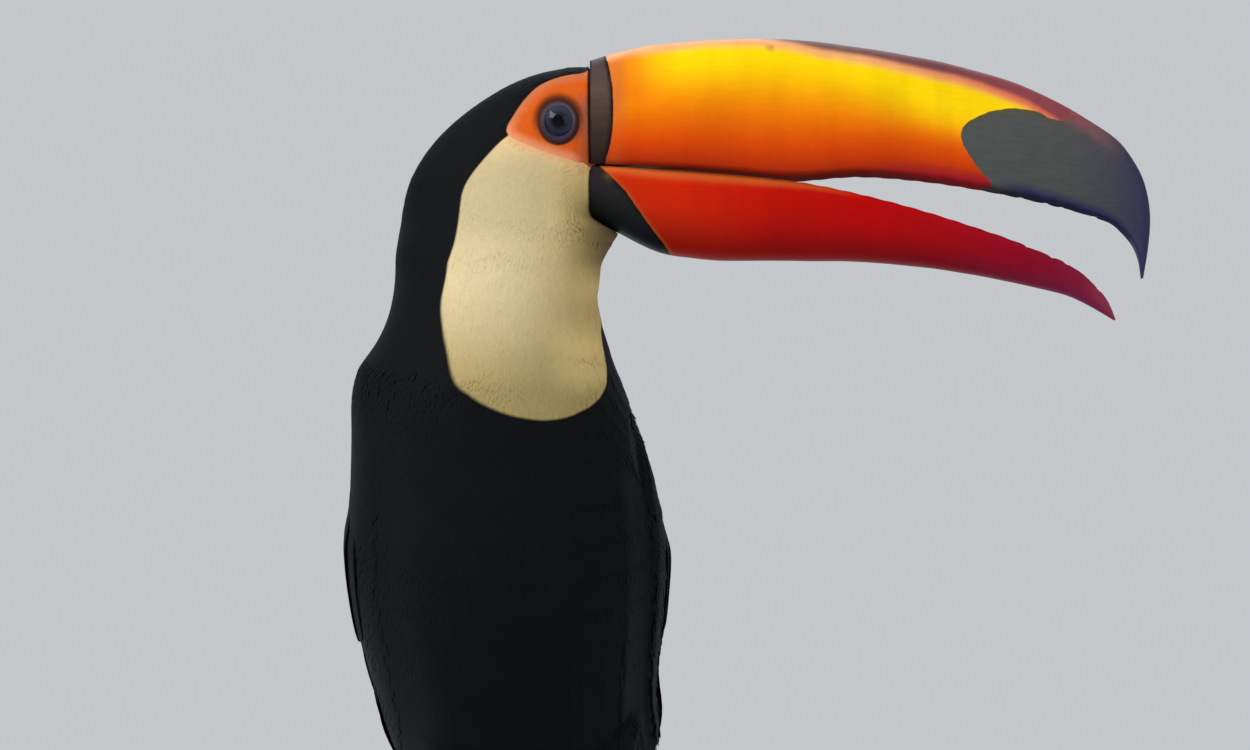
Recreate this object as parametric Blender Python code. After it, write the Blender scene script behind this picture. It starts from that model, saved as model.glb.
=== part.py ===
# A toco toucan, life size, gripping a short cut perch on a plain two-rod stand.
# Metres, +Z up, bill towards +X, bird's right side of the head towards -Y.
# The origin is the centre of the stand's underside.

import math

import bmesh
import bpy
import numpy as np
from mathutils import Matrix, Vector

GAP = 0.0003                 # air between neighbouring solids
WING_GAP = 0.0010            # air between a wing and the curved flank under it

# Bird
HEAD_Y = -0.012              # the plane that halves the head and the bill
FACE_X = 0.0293              # front plane of the head, where the bill is set
BILL_X = FACE_X + GAP        # rear plane of the bill
BODY_YAW = 10.0              # the trunk faces this far from -Y towards +X, in degrees
AROUND = 36                  # points round a body section
EYE_RADIUS = 0.0080
EYE_SPOT = (0.0191, 0.0162, 0.4412)   # eyeball's centre: x, offset from HEAD_Y, z

# Perch and stand
PERCH_RADIUS = 0.0145
PERCH_LENGTH = 0.210
PERCH_Z = 0.1505
PERCH_ROUND = 0.055          # the perch is round this far from its middle, and knobbly past it
PERCH_KNOBS = 0.07           # how uneven its ends are, as a share of its radius
BASE_RADIUS = 0.118
BASE_HEIGHT = 0.016
BASE_CHAMFER = 0.0015
ROD_RADIUS = 0.004
ROD_SPREAD = 0.078           # each rod's distance from the middle of the perch
ROD_DEPTH = 0.008            # how far a rod goes into the perch and into the base

# Feet
FOOT_SPREAD = 0.022          # each foot's distance from the middle of the stance
STANCE = 0.010               # the stance's middle along the perch
ANKLE_BACK = 0.011
ANKLE_Z = 0.1955
SHANK_GIRTH = [0.0036, 0.0036, 0.0033, 0.0033, 0.0036, 0.0041]   # radii from sole to ankle
TOE_RADIUS = 0.0031
TOE_CLEAR = 0.0005           # air between a toe and the perch
TOE_RINGS = 6
CLAW_LENGTH = 0.010
CLAW_RADIUS = 0.0019
CLAW_ARCH = 0.0010           # how far the claw bows away from the perch
CLAW_STEPS = [0.18, 0.55, 1.0]
THIGH_RISE = 0.003           # the thigh's lowest ring above the ankle

# Body sections from the bill's base over the crown, down the neck and on to the tail.
# centre x, y, z; yaw; pitch; fore, aft and side half widths; squareness (2 is an ellipse)
SECTIONS = [
    ("bill_base",    FACE_X, HEAD_Y, 0.43425, 90, 90, 0.02555, 0.02825, 0.0215, 2.4),
    ("brow",         0.0202, HEAD_Y, 0.43250, 90, 69, 0.02630, 0.02875, 0.0238, 2.4),
    ("crown",        0.0115, HEAD_Y, 0.42780, 90, 46, 0.02810, 0.03000, 0.0258, 2.3),
    ("hind_crown",   0.0048, HEAD_Y, 0.42135, 90, 28, 0.03340, 0.03275, 0.0278, 2.2),
    ("cheek",        0.0013, HEAD_Y, 0.41345, 90, 15, 0.03850, 0.03575, 0.0302, 2.1),
    ("chin",         0.0004, HEAD_Y, 0.40560, 90, 7, 0.03780, 0.03700, 0.0325, 2.0),
    ("throat",      -0.0010, HEAD_Y, 0.39880, 88, 2, 0.03670, 0.03720, 0.0340, 2.0),
    ("upper_neck",  -0.0025, HEAD_Y, 0.38900, 84, 0, 0.03580, 0.03610, 0.0350, 2.0),
    ("lower_neck",  -0.0034, -0.011, 0.37800, 70, 1, 0.03660, 0.03660, 0.0370, 2.0),
    ("neck_base",   -0.0040, -0.009, 0.36600, 52, 4, 0.04100, 0.03950, 0.0420, 2.0),
    ("collar",      -0.0056, -0.007, 0.35800, 38, 7, 0.04450, 0.04400, 0.0470, 2.0),
    ("shoulder",    -0.0053, -0.005, 0.35000, 27, 9, 0.04650, 0.04600, 0.0494, 2.05),
    ("upper_breast", -0.0033, -0.002, 0.33600, 17, 12, 0.04900, 0.04750, 0.0516, 2.1),
    ("breast",      -0.0009, 0.0015, 0.31800, 12, 14, 0.05150, 0.04850, 0.0543, 2.1),
    ("keel",         0.0000, 0.0070, 0.29700, 10, 16, 0.05300, 0.04850, 0.0568, 2.1),
    ("belly",        0.0005, 0.0145, 0.27500, 10, 18, 0.05150, 0.04700, 0.0558, 2.1),
    ("low_belly",    0.0020, 0.0260, 0.25000, 10, 21, 0.04700, 0.04300, 0.0521, 2.1),
    ("flank",        0.0055, 0.0395, 0.22400, 10, 24, 0.03900, 0.03600, 0.0480, 2.1),
    ("vent",         0.0075, 0.0530, 0.20000, 10, 26, 0.02800, 0.02700, 0.0370, 2.1),
    ("rump",         0.0085, 0.0635, 0.18000, 10, 25, 0.01850, 0.01850, 0.0270, 2.2),
    ("tail_root",    0.0092, 0.0705, 0.16300, 10, 22, 0.01150, 0.01150, 0.0220, 2.4),
    ("wing_tips",    0.0098, 0.0765, 0.14700, 10, 20, 0.00800, 0.00850, 0.0200, 2.4),
]
HEAD_END = "chin"            # the head's node ends here, and the neck's begins
NECK_END = "neck_base"
TRUNK_END = "tail_root"

# A wing's footprint on the flank, from its bend to its tip. Angles run round the body,
# 0 at the breast and 180 at the spine.
WING_FRONT = [92, 68, 62, 62, 68, 82, 104, 134]
WING_REAR = [118, 146, 160, 167, 170, 172, 173, 171]
WING_THICK = [0.0030, 0.0062, 0.0070, 0.0068, 0.0060, 0.0050, 0.0036, 0.0022]
WING_LIFT = [0.0, 0.0, 0.0, 0.0, 0.0005, 0.0035, 0.0075, 0.0085]
WING_EDGE = 0.0010           # thickness along a wing's edges

# Bill sections: ridge x, z; cutting edge x, z; half width
UPPER_BILL = [
    (BILL_X, 0.4640, BILL_X, 0.4272, 0.0207),
    (0.0420, 0.4676, 0.0430, 0.4266, 0.0206),
    (0.0700, 0.4710, 0.0720, 0.4250, 0.0198),
    (0.0990, 0.4713, 0.0990, 0.4228, 0.0184),
    (0.1290, 0.4677, 0.1240, 0.4243, 0.0168),
    (0.1560, 0.4625, 0.1480, 0.4224, 0.0149),
    (0.1810, 0.4549, 0.1700, 0.4188, 0.0126),
    (0.2010, 0.4446, 0.1890, 0.4146, 0.0102),
    (0.2150, 0.4344, 0.2020, 0.4110, 0.0080),
    (0.2225, 0.4215, 0.2120, 0.4070, 0.0058),
    (0.2245, 0.4090, 0.2180, 0.4005, 0.0038),
    (0.2237, 0.3985, 0.2205, 0.3945, 0.0022),
    (0.2221, 0.3885, 0.2213, 0.3881, 0.0006),
]
LOWER_BILL = [
    (BILL_X, 0.4092, BILL_X, 0.4266, 0.0196),
    (0.0400, 0.4038, 0.0400, 0.4260, 0.0196),
    (0.0530, 0.3976, 0.0520, 0.4253, 0.0190),
    (0.0660, 0.3952, 0.0660, 0.4245, 0.0182),
    (0.0950, 0.3944, 0.0992, 0.4214, 0.0167),
    (0.1270, 0.3938, 0.1305, 0.4150, 0.0148),
    (0.1550, 0.3908, 0.1583, 0.4070, 0.0124),
    (0.1790, 0.3863, 0.1827, 0.3984, 0.0096),
    (0.1970, 0.3817, 0.2001, 0.3898, 0.0066),
    (0.2070, 0.3766, 0.2095, 0.3800, 0.0035),
    (0.2120, 0.3736, 0.2124, 0.3741, 0.0006),
]
BILL_SIDE_POINTS = 13        # round the outside of a bill section, edge to edge
BILL_ROOF_POINTS = 5         # across its inner face
BILL_HOLLOW = 0.07           # rise of the inner face, as a share of the section's depth

# Tail sections from its root: distance along, half width, half thickness
TAIL_FORM = [
    (0.000, 0.0216, 0.0100),
    (0.018, 0.0232, 0.0070),
    (0.060, 0.0262, 0.0046),
    (0.105, 0.0298, 0.0033),
    (0.128, 0.0300, 0.0026),
    (0.137, 0.0262, 0.0022),
    (0.142, 0.0170, 0.0016),
]
TAIL_PITCH = 21.0            # the tail's lean from the vertical, in degrees
TAIL_DROOP = 0.0035          # how far the tail's edges curl down at TAIL_DROOP_AT from its middle
TAIL_DROOP_AT = 0.030
TAIL_SETBACK = 0.001         # air between the rump and the tail


def clear_scene():
    for item in list(bpy.data.objects):
        bpy.data.objects.remove(item)


def finish(name, colour, roughness, metallic=0.0):
    made = bpy.data.materials.new(name)
    made.use_nodes = True
    made.diffuse_color = (*colour, 1.0)
    shader = made.node_tree.nodes["Principled BSDF"]
    shader.inputs["Base Color"].default_value = (*colour, 1.0)
    shader.inputs["Roughness"].default_value = roughness
    shader.inputs["Metallic"].default_value = metallic
    return made


def add_object(name, bm, material, crease=50.0):
    bmesh.ops.recalc_face_normals(bm, faces=bm.faces)
    mesh = bpy.data.meshes.new(name)
    bm.to_mesh(mesh)
    bm.free()
    mesh.shade_smooth()
    mesh.set_sharp_from_angle(angle=math.radians(crease))
    if material:
        mesh.materials.append(material)
    made = bpy.data.objects.new(name, mesh)
    bpy.context.scene.collection.objects.link(made)
    return made


def as_cutter(cutter):
    cutter.hide_render = True
    cutter.display_type = "WIRE"
    return cutter


def combine(target, tool, operation):
    step = target.modifiers.new(operation.lower(), "BOOLEAN")
    step.object = as_cutter(tool)
    step.operation = operation
    step.solver = "EXACT"


def curve_through(knots, rows, at):
    """Smooth values at the given places: Hermite pieces through the rows."""
    knots, rows = np.asarray(knots, float), np.asarray(rows, float)
    at = np.atleast_1d(np.asarray(at, float))
    slopes = np.gradient(rows, knots, axis=0)
    first = np.clip(np.searchsorted(knots, at, side="right") - 1, 0, len(knots) - 2)
    span = knots[first + 1] - knots[first]
    t = (at - knots[first]) / span
    shape = (-1,) + (1,) * (rows.ndim - 1)
    t, span = t.reshape(shape), span.reshape(shape)
    return ((2 * t**3 - 3 * t**2 + 1) * rows[first]
            + (t**3 - 2 * t**2 + t) * span * slopes[first]
            + (3 * t**2 - 2 * t**3) * rows[first + 1]
            + (t**3 - t**2) * span * slopes[first + 1])


def run_length(points):
    steps = np.linalg.norm(np.diff(points, axis=0), axis=1)
    return np.concatenate([[0.0], np.cumsum(steps)])


def loft(name, rings, material, crease=50.0):
    """A closed body through rings of equal count, capped at both ends."""
    bm = bmesh.new()
    rows = [[bm.verts.new(p) for p in ring] for ring in rings]
    count = len(rows[0])
    for near, far in zip(rows, rows[1:]):
        for i in range(count):
            j = (i + 1) % count
            bm.faces.new((near[i], near[j], far[j], far[i]))
    for row in (rows[0], rows[-1]):
        middle = bm.verts.new(sum((v.co for v in row), Vector()) / count)
        for i in range(count):
            bm.faces.new((row[i], row[(i + 1) % count], middle))
    return add_object(name, bm, material, crease)


# The body

SECTION_NAMES = [row[0] for row in SECTIONS]
SECTION_VALUES = np.array([row[1:] for row in SECTIONS], float)
SECTION_KNOTS = run_length(SECTION_VALUES[:, :3])


def along(section):
    return SECTION_KNOTS[SECTION_NAMES.index(section)]


def frame_at(place):
    """Centre, fore, side and downward directions of the body's section there, and its sizes."""
    row = curve_through(SECTION_KNOTS, SECTION_VALUES, place)[0]
    yaw, pitch = math.radians(row[3]), math.radians(row[4])
    ahead = np.array([math.sin(yaw), -math.cos(yaw), 0.0])
    up = np.array([0.0, 0.0, 1.0])
    fore = math.cos(pitch) * ahead - math.sin(pitch) * up
    down = -math.sin(pitch) * ahead - math.cos(pitch) * up
    side = np.array([math.cos(yaw), math.sin(yaw), 0.0])
    return row[:3], fore, side, down, row[5:]


def section_arms(place, degrees):
    """The centre there and, for each angle round the body, the arm out to its outline."""
    centre, fore, side, down, (ahead, behind, half, square) = frame_at(place)
    turn = np.radians(np.asarray(degrees, float))
    c, s = np.cos(turn), np.sin(turn)
    power = 2.0 / square
    depth = np.sign(c) * np.abs(c) ** power * np.where(c > 0, ahead, behind)
    width = np.sign(s) * np.abs(s) ** power * half
    return centre, np.outer(depth, fore) + np.outer(width, side), down


def lengthen(arms, extra):
    size = np.linalg.norm(arms, axis=1, keepdims=True)
    return arms * (1.0 + np.asarray(extra, float).reshape(-1, 1) / size)


# Sections of the trunk, closer at the shoulder, and of the wings, which share them.
TRUNK_PLACES = np.concatenate([np.linspace(along(NECK_END), along("upper_breast"), 7),
                               np.linspace(along("upper_breast"), along(TRUNK_END), 17)[1:]])
WING_PLACES = np.concatenate([TRUNK_PLACES[1:], [along("wing_tips")]])
WING_ENDS = (WING_PLACES[0], WING_PLACES[-1])


def wing_form(place):
    """Front angle, rear angle, thickness and lift of the wing there."""
    share = np.clip((place - WING_ENDS[0]) / (WING_ENDS[1] - WING_ENDS[0]), 0.0, 1.0)
    table = np.array([WING_FRONT, WING_REAR, WING_THICK, WING_LIFT], float).T
    return curve_through(np.linspace(0, 1, len(table)), table, share)[0]


def wing_thickness(full, across):
    across = np.clip(across, 0.0, 1.0)
    return WING_EDGE + (full - WING_EDGE) * np.sin(math.pi * across) ** 0.6


def flank_hollow(place, degrees):
    """How far the trunk is set in at each angle, so that the wing lies in it."""
    front, rear, full, lift = wing_form(place)
    folded = np.abs((np.asarray(degrees) + 180.0) % 360.0 - 180.0)
    spare = 1.8 * 360.0 / AROUND
    under = (folded > front - spare) & (folded < rear + spare)
    across = (folded - front) / (rear - front)
    hollow = wing_thickness(full, across) + WING_GAP - lift
    return np.where(under, np.maximum(hollow, 0.0), 0.0)


def body_rings(places, swell=0.0, hollow=False):
    degrees = np.arange(AROUND) * 360.0 / AROUND
    rings = []
    for place in places:
        centre, arms, down = section_arms(place, degrees)
        inset = flank_hollow(place, degrees) if hollow else np.zeros(AROUND)
        rings.append(centre + lengthen(arms, swell - inset))
    return rings


def trimmed(rings):
    """The rings with the first one moved down by the gap, so that neighbours don't touch."""
    toward = rings[1].mean(axis=0) - rings[0].mean(axis=0)
    return [rings[0] + toward / np.linalg.norm(toward) * GAP] + rings[1:]


def make_body():
    black = finish("black_plumage", (0.012, 0.013, 0.014), 0.75)
    cream = finish("cream_plumage", (0.80, 0.74, 0.55), 0.8)
    head_end, neck_end = along(HEAD_END), along(NECK_END)
    head = loft("head", body_rings(np.linspace(0.0, head_end, 11)), cream)
    loft("neck", trimmed(body_rings(np.linspace(head_end, neck_end, 6))), cream)
    loft("trunk", trimmed(body_rings(TRUNK_PLACES, hollow=True)), black)
    return head, black


def make_wings(black):
    rows, columns = len(WING_PLACES), 8
    for name, hand in (("wing_left", 1.0), ("wing_right", -1.0)):
        bm = bmesh.new()
        skins = []
        for layer in (0, 1):
            grid = []
            for place in WING_PLACES:
                front, rear, full, lift = wing_form(place)
                across = np.linspace(0.0, 1.0, columns)
                degrees = hand * (front + (rear - front) * across)
                centre, arms, down = section_arms(place, degrees)
                inward = wing_thickness(full, across) * layer
                points = centre + lengthen(arms, lift - inward)
                grid.append([bm.verts.new(p) for p in points])
            skins.append(grid)
        outer, inner = skins
        for grid in skins:
            for near, far in zip(grid, grid[1:]):
                for i in range(columns - 1):
                    bm.faces.new((near[i], near[i + 1], far[i + 1], far[i]))
        for r in range(rows - 1):
            for c in (0, columns - 1):
                bm.faces.new((outer[r][c], outer[r + 1][c], inner[r + 1][c], inner[r][c]))
        for r in (0, rows - 1):
            for c in range(columns - 1):
                bm.faces.new((outer[r][c], outer[r][c + 1], inner[r][c + 1], inner[r][c]))
        add_object(name, bm, black, 70.0)


def make_tail(black):
    centre, fore, side, down, sizes = frame_at(along(TRUNK_END))
    lean = math.radians(TAIL_PITCH)
    yaw = math.radians(BODY_YAW)
    back = np.array([-math.sin(yaw), math.cos(yaw), 0.0])
    axis = math.sin(lean) * back - math.cos(lean) * np.array([0.0, 0.0, 1.0])
    out = math.cos(lean) * back + math.sin(lean) * np.array([0.0, 0.0, 1.0])
    start = centre + down * TAIL_SETBACK
    form = np.array(TAIL_FORM)
    turn = np.radians(np.arange(20) * 18.0)
    c, s = np.cos(turn), np.sin(turn)
    across = np.sign(c) * np.abs(c) ** 0.55
    rings = []
    for place in np.concatenate([np.linspace(0.0, form[-3, 0], 8), form[-2:, 0]]):
        distance, half, thick = curve_through(form[:, 0], form, place)[0]
        ring = start + axis * distance + np.outer(across * half, side)
        droop = TAIL_DROOP * (c * half / TAIL_DROOP_AT) ** 2
        rings.append(ring + np.outer(s * thick - droop, out))
    loft("tail", rings, black, 60.0)


# Bill and eyes

def bill_ring(row, inset):
    ridge = np.array([row[0], HEAD_Y, row[1]])
    edge = np.array([row[2], HEAD_Y, row[3]])
    turn = np.linspace(0.0, math.pi, BILL_SIDE_POINTS)
    rise = np.sin(turn) ** 0.92
    width = np.sign(np.cos(turn)) * np.abs(np.cos(turn)) ** 0.88
    width = width * (1.0 - inset * (1.0 - rise) ** 6)
    roof = np.linspace(0.0, 1.0, BILL_ROOF_POINTS + 2)[1:-1]
    roof_rise = BILL_HOLLOW * np.sin(math.pi * roof)
    roof_width = (1.0 - inset) * (2.0 * roof - 1.0)
    rise = np.concatenate([rise, roof_rise])
    width = np.concatenate([width, roof_width]) * row[4]
    return edge + np.outer(rise, ridge - edge) + np.outer(width, (0.0, 1.0, 0.0))


def make_bill():
    horn = {"bill_upper": (UPPER_BILL, (0.95, 0.42, 0.03), 18),
            "bill_lower": (LOWER_BILL, (0.75, 0.06, 0.02), 16)}
    for name, (table, colour, count) in horn.items():
        rows = np.array(table)
        knots = run_length((rows[:, 0:2] + rows[:, 2:4]) / 2.0)
        rows = curve_through(knots, rows, np.linspace(0.0, knots[-1], count))
        loft(name, [bill_ring(row, 0.05) for row in rows], finish(name, colour, 0.35), 60.0)


def ball(name, centre, radius, material=None):
    bm = bmesh.new()
    bmesh.ops.create_uvsphere(bm, u_segments=12, v_segments=8, radius=radius)
    bmesh.ops.rotate(bm, verts=bm.verts, matrix=Matrix.Rotation(math.pi / 2, 3, "X"))
    bmesh.ops.translate(bm, verts=bm.verts, vec=centre)
    return add_object(name, bm, material)


def make_eyes(head):
    iris = finish("eye", (0.01, 0.01, 0.02), 0.08)
    x, out, z = EYE_SPOT
    for name, hand in (("eye_left", 1.0), ("eye_right", -1.0)):
        centre = (x, HEAD_Y + hand * out, z)
        ball(name, centre, EYE_RADIUS, iris)
        combine(head, ball("socket_" + name, centre, EYE_RADIUS + GAP), "DIFFERENCE")


# Legs, perch and stand

YAW = math.radians(BODY_YAW)
ACROSS = np.array([math.cos(YAW), math.sin(YAW), 0.0])     # along the perch, to the bird's left
AHEAD = np.array([math.sin(YAW), -math.cos(YAW), 0.0])     # the way the trunk faces
UP = np.array([0.0, 0.0, 1.0])


def tube_rings(path, radii, sides):
    """Round sections square to a bent path."""
    path = np.asarray(path, float)
    heading = np.gradient(path, axis=0)
    heading /= np.linalg.norm(heading, axis=1, keepdims=True)
    turn = np.arange(sides) * 2.0 * math.pi / sides
    rings = []
    for point, way, radius in zip(path, heading, radii):
        first = np.cross(way, ACROSS + 0.01 * UP)
        first /= np.linalg.norm(first)
        second = np.cross(way, first)
        rings.append(point + radius * (np.outer(np.cos(turn), first) + np.outer(np.sin(turn), second)))
    return rings


def toe_rings(foot, root, root_turn, splay, wrap, forward):
    """A toe over the perch with its claw: wrap is the angle it covers, in degrees."""
    claw_turn = math.degrees(CLAW_LENGTH / (PERCH_RADIUS + TOE_RADIUS + GAP))
    claw = np.array([0.0] * TOE_RINGS + CLAW_STEPS)
    claw_turns = wrap + (0.05 + claw[TOE_RINGS:]) * claw_turn
    turns = np.concatenate([np.linspace(root_turn, wrap, TOE_RINGS), claw_turns])
    path, radii = [], []
    for turn, tip in zip(turns, claw):
        angle = math.radians(turn)
        share = max(turn, 0.0) / wrap
        radius = TOE_RADIUS * (1.08 - 0.20 * min(share, 1.0))
        if tip > 0:
            radius = CLAW_RADIUS * (1.0 - 0.80 * tip)
        away = PERCH_RADIUS + TOE_CLEAR + max(radius, TOE_RADIUS * 0.5)
        away += CLAW_ARCH * math.sin(math.pi * tip)
        out = away * (math.cos(angle) * UP + forward * math.sin(angle) * AHEAD)
        path.append(foot + (root + splay * min(share, 1.3)) * ACROSS + out)
        radii.append(radius)
    return tube_rings(path, radii, 7)


def make_legs(black):
    horn = finish("leg_skin", (0.17, 0.24, 0.30), 0.55)
    perch_centre = PERCH_Z * UP
    for name, hand in (("left", 1.0), ("right", -1.0)):
        foot = perch_centre + (STANCE + hand * FOOT_SPREAD) * ACROSS
        sole = foot + (PERCH_RADIUS + GAP + SHANK_GIRTH[0]) * UP
        ankle = foot - ANKLE_BACK * AHEAD + (ANKLE_Z - PERCH_Z) * UP
        shank = [sole + (ankle - sole) * s for s in np.linspace(0.0, 1.0, len(SHANK_GIRTH))]
        leg = loft("foot_" + name, tube_rings(shank, SHANK_GIRTH, 10), horn)
        toes = {
            "inner_front": (-0.0021, -11.0, -0.0045, 104.0, 1.0),
            "outer_front": (0.0024, -14.0, 0.0075, 118.0, 1.0),
            "inner_hind": (-0.0018, -7.0, -0.0050, 74.0, -1.0),
            "outer_hind": (0.0020, -9.0, 0.0070, 100.0, -1.0),
        }
        for toe, (offset, turned, splay, wrap, forward) in toes.items():
            rings = toe_rings(foot, hand * offset, turned, hand * splay, wrap, forward)
            combine(leg, loft("_".join(("toe", name, toe)), rings, None), "UNION")
        make_thigh(name, hand, ankle, black)


def make_thigh(name, hand, ankle, black):
    """The feathered upper leg, from inside the belly down to the ankle."""
    offsets = [(0.000, 0.0000, -0.0005), (0.001, 0.0010, 0.009), (0.002, 0.0020, 0.020),
               (0.004, 0.0020, 0.034), (0.005, 0.0000, 0.048)]
    girth = [0.0056, 0.0088, 0.0128, 0.0158, 0.0140]
    path = [ankle + hand * out * ACROSS + ahead * AHEAD + (rise + THIGH_RISE) * UP
            for out, ahead, rise in offsets]
    knots = np.arange(len(path))
    places = np.linspace(0, len(path) - 1, 8)
    path = curve_through(knots, path, places)
    girth = curve_through(knots, girth, places)
    thigh = loft("thigh_" + name, tube_rings(path, girth, 16), black)
    belly = body_rings(TRUNK_PLACES[8:], swell=GAP)
    combine(thigh, loft("belly_cutter_" + name, belly, None), "DIFFERENCE")


def make_perch():
    bark = finish("bark", (0.22, 0.15, 0.10), 0.85)
    places = np.linspace(-0.5, 0.5, 11) * PERCH_LENGTH
    turn = np.arange(24) * math.pi / 12
    rings = []
    for place in places:
        end = max(0.0, abs(place) - PERCH_ROUND) / (PERCH_LENGTH / 2.0 - PERCH_ROUND)
        girth = PERCH_RADIUS * (1.0 + PERCH_KNOBS * end * np.sin(3.0 * turn + 40.0 * place))
        ring = PERCH_Z * UP + place * ACROSS
        ring = ring + np.outer(girth * np.cos(turn), UP) + np.outer(girth * np.sin(turn), AHEAD)
        rings.append(ring)
    return loft("perch", rings, bark, 40.0)


def cylinder(name, centre, radius, low, high, material=None, sides=16):
    bm = bmesh.new()
    bmesh.ops.create_cone(bm, cap_ends=True, segments=sides, radius1=radius, radius2=radius,
                          depth=high - low)
    bmesh.ops.translate(bm, verts=bm.verts, vec=(centre[0], centre[1], (low + high) / 2.0))
    return add_object(name, bm, material, 40.0)


def make_stand(perch):
    board = finish("stand_wood", (0.11, 0.075, 0.05), 0.4)
    steel = finish("stand_steel", (0.62, 0.62, 0.64), 0.3, 1.0)
    base = cylinder("stand_base", (0.0, 0.0), BASE_RADIUS, 0.0, BASE_HEIGHT, board, 40)
    chamfer = base.modifiers.new("chamfer", "BEVEL")
    chamfer.width = BASE_CHAMFER
    chamfer.segments = 1
    chamfer.limit_method = "ANGLE"
    rod_top = PERCH_Z - PERCH_RADIUS + ROD_DEPTH
    rod_foot = BASE_HEIGHT - ROD_DEPTH
    for name, hand in (("left", 1.0), ("right", -1.0)):
        spot = hand * ROD_SPREAD * ACROSS
        cylinder("stand_rod_" + name, spot, ROD_RADIUS, rod_foot, rod_top, steel)
        hole = ROD_RADIUS + GAP
        combine(perch, cylinder("perch_hole_" + name, spot, hole, BASE_HEIGHT + 0.02, rod_top + GAP),
                "DIFFERENCE")
        combine(base, cylinder("base_hole_" + name, spot, hole, rod_foot - GAP, BASE_HEIGHT + 0.02),
                "DIFFERENCE")


def main():
    clear_scene()
    head, black = make_body()
    make_wings(black)
    make_tail(black)
    make_bill()
    make_eyes(head)
    make_legs(black)
    make_stand(make_perch())


main()
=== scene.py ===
# Toco toucan on a perch: skin, coat, bill, eyes, feet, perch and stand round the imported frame.
import math

import bmesh
import bpy
import numpy as np
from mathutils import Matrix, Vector
from mathutils.bvhtree import BVHTree


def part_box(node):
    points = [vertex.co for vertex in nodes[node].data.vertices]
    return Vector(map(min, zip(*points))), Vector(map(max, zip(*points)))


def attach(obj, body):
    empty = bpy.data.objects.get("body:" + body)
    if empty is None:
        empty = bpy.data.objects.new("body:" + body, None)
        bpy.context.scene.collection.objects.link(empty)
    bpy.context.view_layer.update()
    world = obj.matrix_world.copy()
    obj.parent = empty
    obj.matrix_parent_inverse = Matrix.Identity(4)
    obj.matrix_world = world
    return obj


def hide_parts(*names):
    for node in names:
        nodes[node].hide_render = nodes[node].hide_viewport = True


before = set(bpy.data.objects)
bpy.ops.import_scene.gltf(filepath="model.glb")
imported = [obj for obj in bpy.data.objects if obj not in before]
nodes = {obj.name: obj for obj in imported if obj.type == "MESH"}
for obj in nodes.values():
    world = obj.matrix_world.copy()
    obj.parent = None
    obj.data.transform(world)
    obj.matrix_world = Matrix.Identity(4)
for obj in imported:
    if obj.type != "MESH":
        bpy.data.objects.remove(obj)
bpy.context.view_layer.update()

# Places taken from the frame
billLow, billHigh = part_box("bill_upper")
headY = (billLow.y + billHigh.y) / 2.0  # the plane that halves head and bill
billX = billLow.x  # rear plane of the bill
eyeRadius = (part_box("eye_right")[1].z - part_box("eye_right")[0].z) / 2.0
eyeSpots = {side: (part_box("eye_" + side)[0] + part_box("eye_" + side)[1]) / 2.0 for side in ("left", "right")}
bodyYaw = math.radians(10.0)  # the way the trunk and the perch are turned
acrossPerch = np.array([math.cos(bodyYaw), math.sin(bodyYaw), 0.0])
aheadOfBird = np.array([math.sin(bodyYaw), -math.cos(bodyYaw), 0.0])
upward = np.array([0.0, 0.0, 1.0])


# small helpers

def tone(red, green, blue):  # a screen colour, 0 to 255, as linear light
    values = np.array([red, green, blue]) / 255.0
    linear = np.where(values <= 0.04045, values / 12.92, ((values + 0.055) / 1.055) ** 2.4)
    return tuple(float(v) for v in linear) + (1.0,)


def ease(x, low, high):
    t = np.clip((np.asarray(x, float) - low) / (high - low), 0.0, 1.0)
    return t * t * (3.0 - 2.0 * t)


def wane(x, low, high):  # from 1 down to 0
    return 1.0 - ease(x, low, high)


def unit(v):
    v = np.asarray(v, float)
    return v / np.maximum(np.linalg.norm(v, axis=-1, keepdims=True), 1e-9)


def smoothRow(knots, rows, at):  # Hermite pieces through rows of values
    knots, rows = np.asarray(knots, float), np.asarray(rows, float)
    at = np.atleast_1d(np.asarray(at, float))
    slopes = np.gradient(rows, knots, axis=0)
    first = np.clip(np.searchsorted(knots, at, side="right") - 1, 0, len(knots) - 2)
    span = knots[first + 1] - knots[first]
    t = (at - knots[first]) / span
    shape = (-1,) + (1,) * (rows.ndim - 1)
    t, span = t.reshape(shape), span.reshape(shape)
    return ((2 * t**3 - 3 * t**2 + 1) * rows[first] + (t**3 - 2 * t**2 + t) * span * slopes[first]
            + (3 * t**2 - 2 * t**3) * rows[first + 1] + (t**3 - t**2) * span * slopes[first + 1])


def runLength(points):
    return np.concatenate([[0.0], np.cumsum(np.linalg.norm(np.diff(points, axis=0), axis=1))])


def fullTurn(count):  # evenly spaced angles, once round
    return np.linspace(0.0, 2.0 * math.pi, count, endpoint=False)


def outlineDistance(x, z, outline, steps=12):  # how far inside a closed smooth outline, negative outside
    points = np.array(outline, float)
    count = len(points)
    loop = np.vstack([points[-2:], points, points[:3]])
    path = smoothRow(np.arange(len(loop)), loop, np.linspace(2, 2 + count, count * steps, endpoint=False))
    ends = np.roll(path, -1, axis=0)
    spots = np.column_stack([x, z])
    best = np.full(len(spots), 9.0)
    inside = np.zeros(len(spots), bool)
    for a, b in zip(path, ends):
        along = b - a
        t = np.clip(((spots - a) @ along) / (along @ along), 0.0, 1.0)
        best = np.minimum(best, np.linalg.norm(spots - (a + t[:, None] * along), axis=1))
        crosses = (a[1] > spots[:, 1]) != (b[1] > spots[:, 1])
        if a[1] != b[1]:
            inside ^= crosses & (spots[:, 0] < (b[0] - a[0]) * (spots[:, 1] - a[1]) / (b[1] - a[1]) + a[0])
    return np.where(inside, best, -best)


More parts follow.
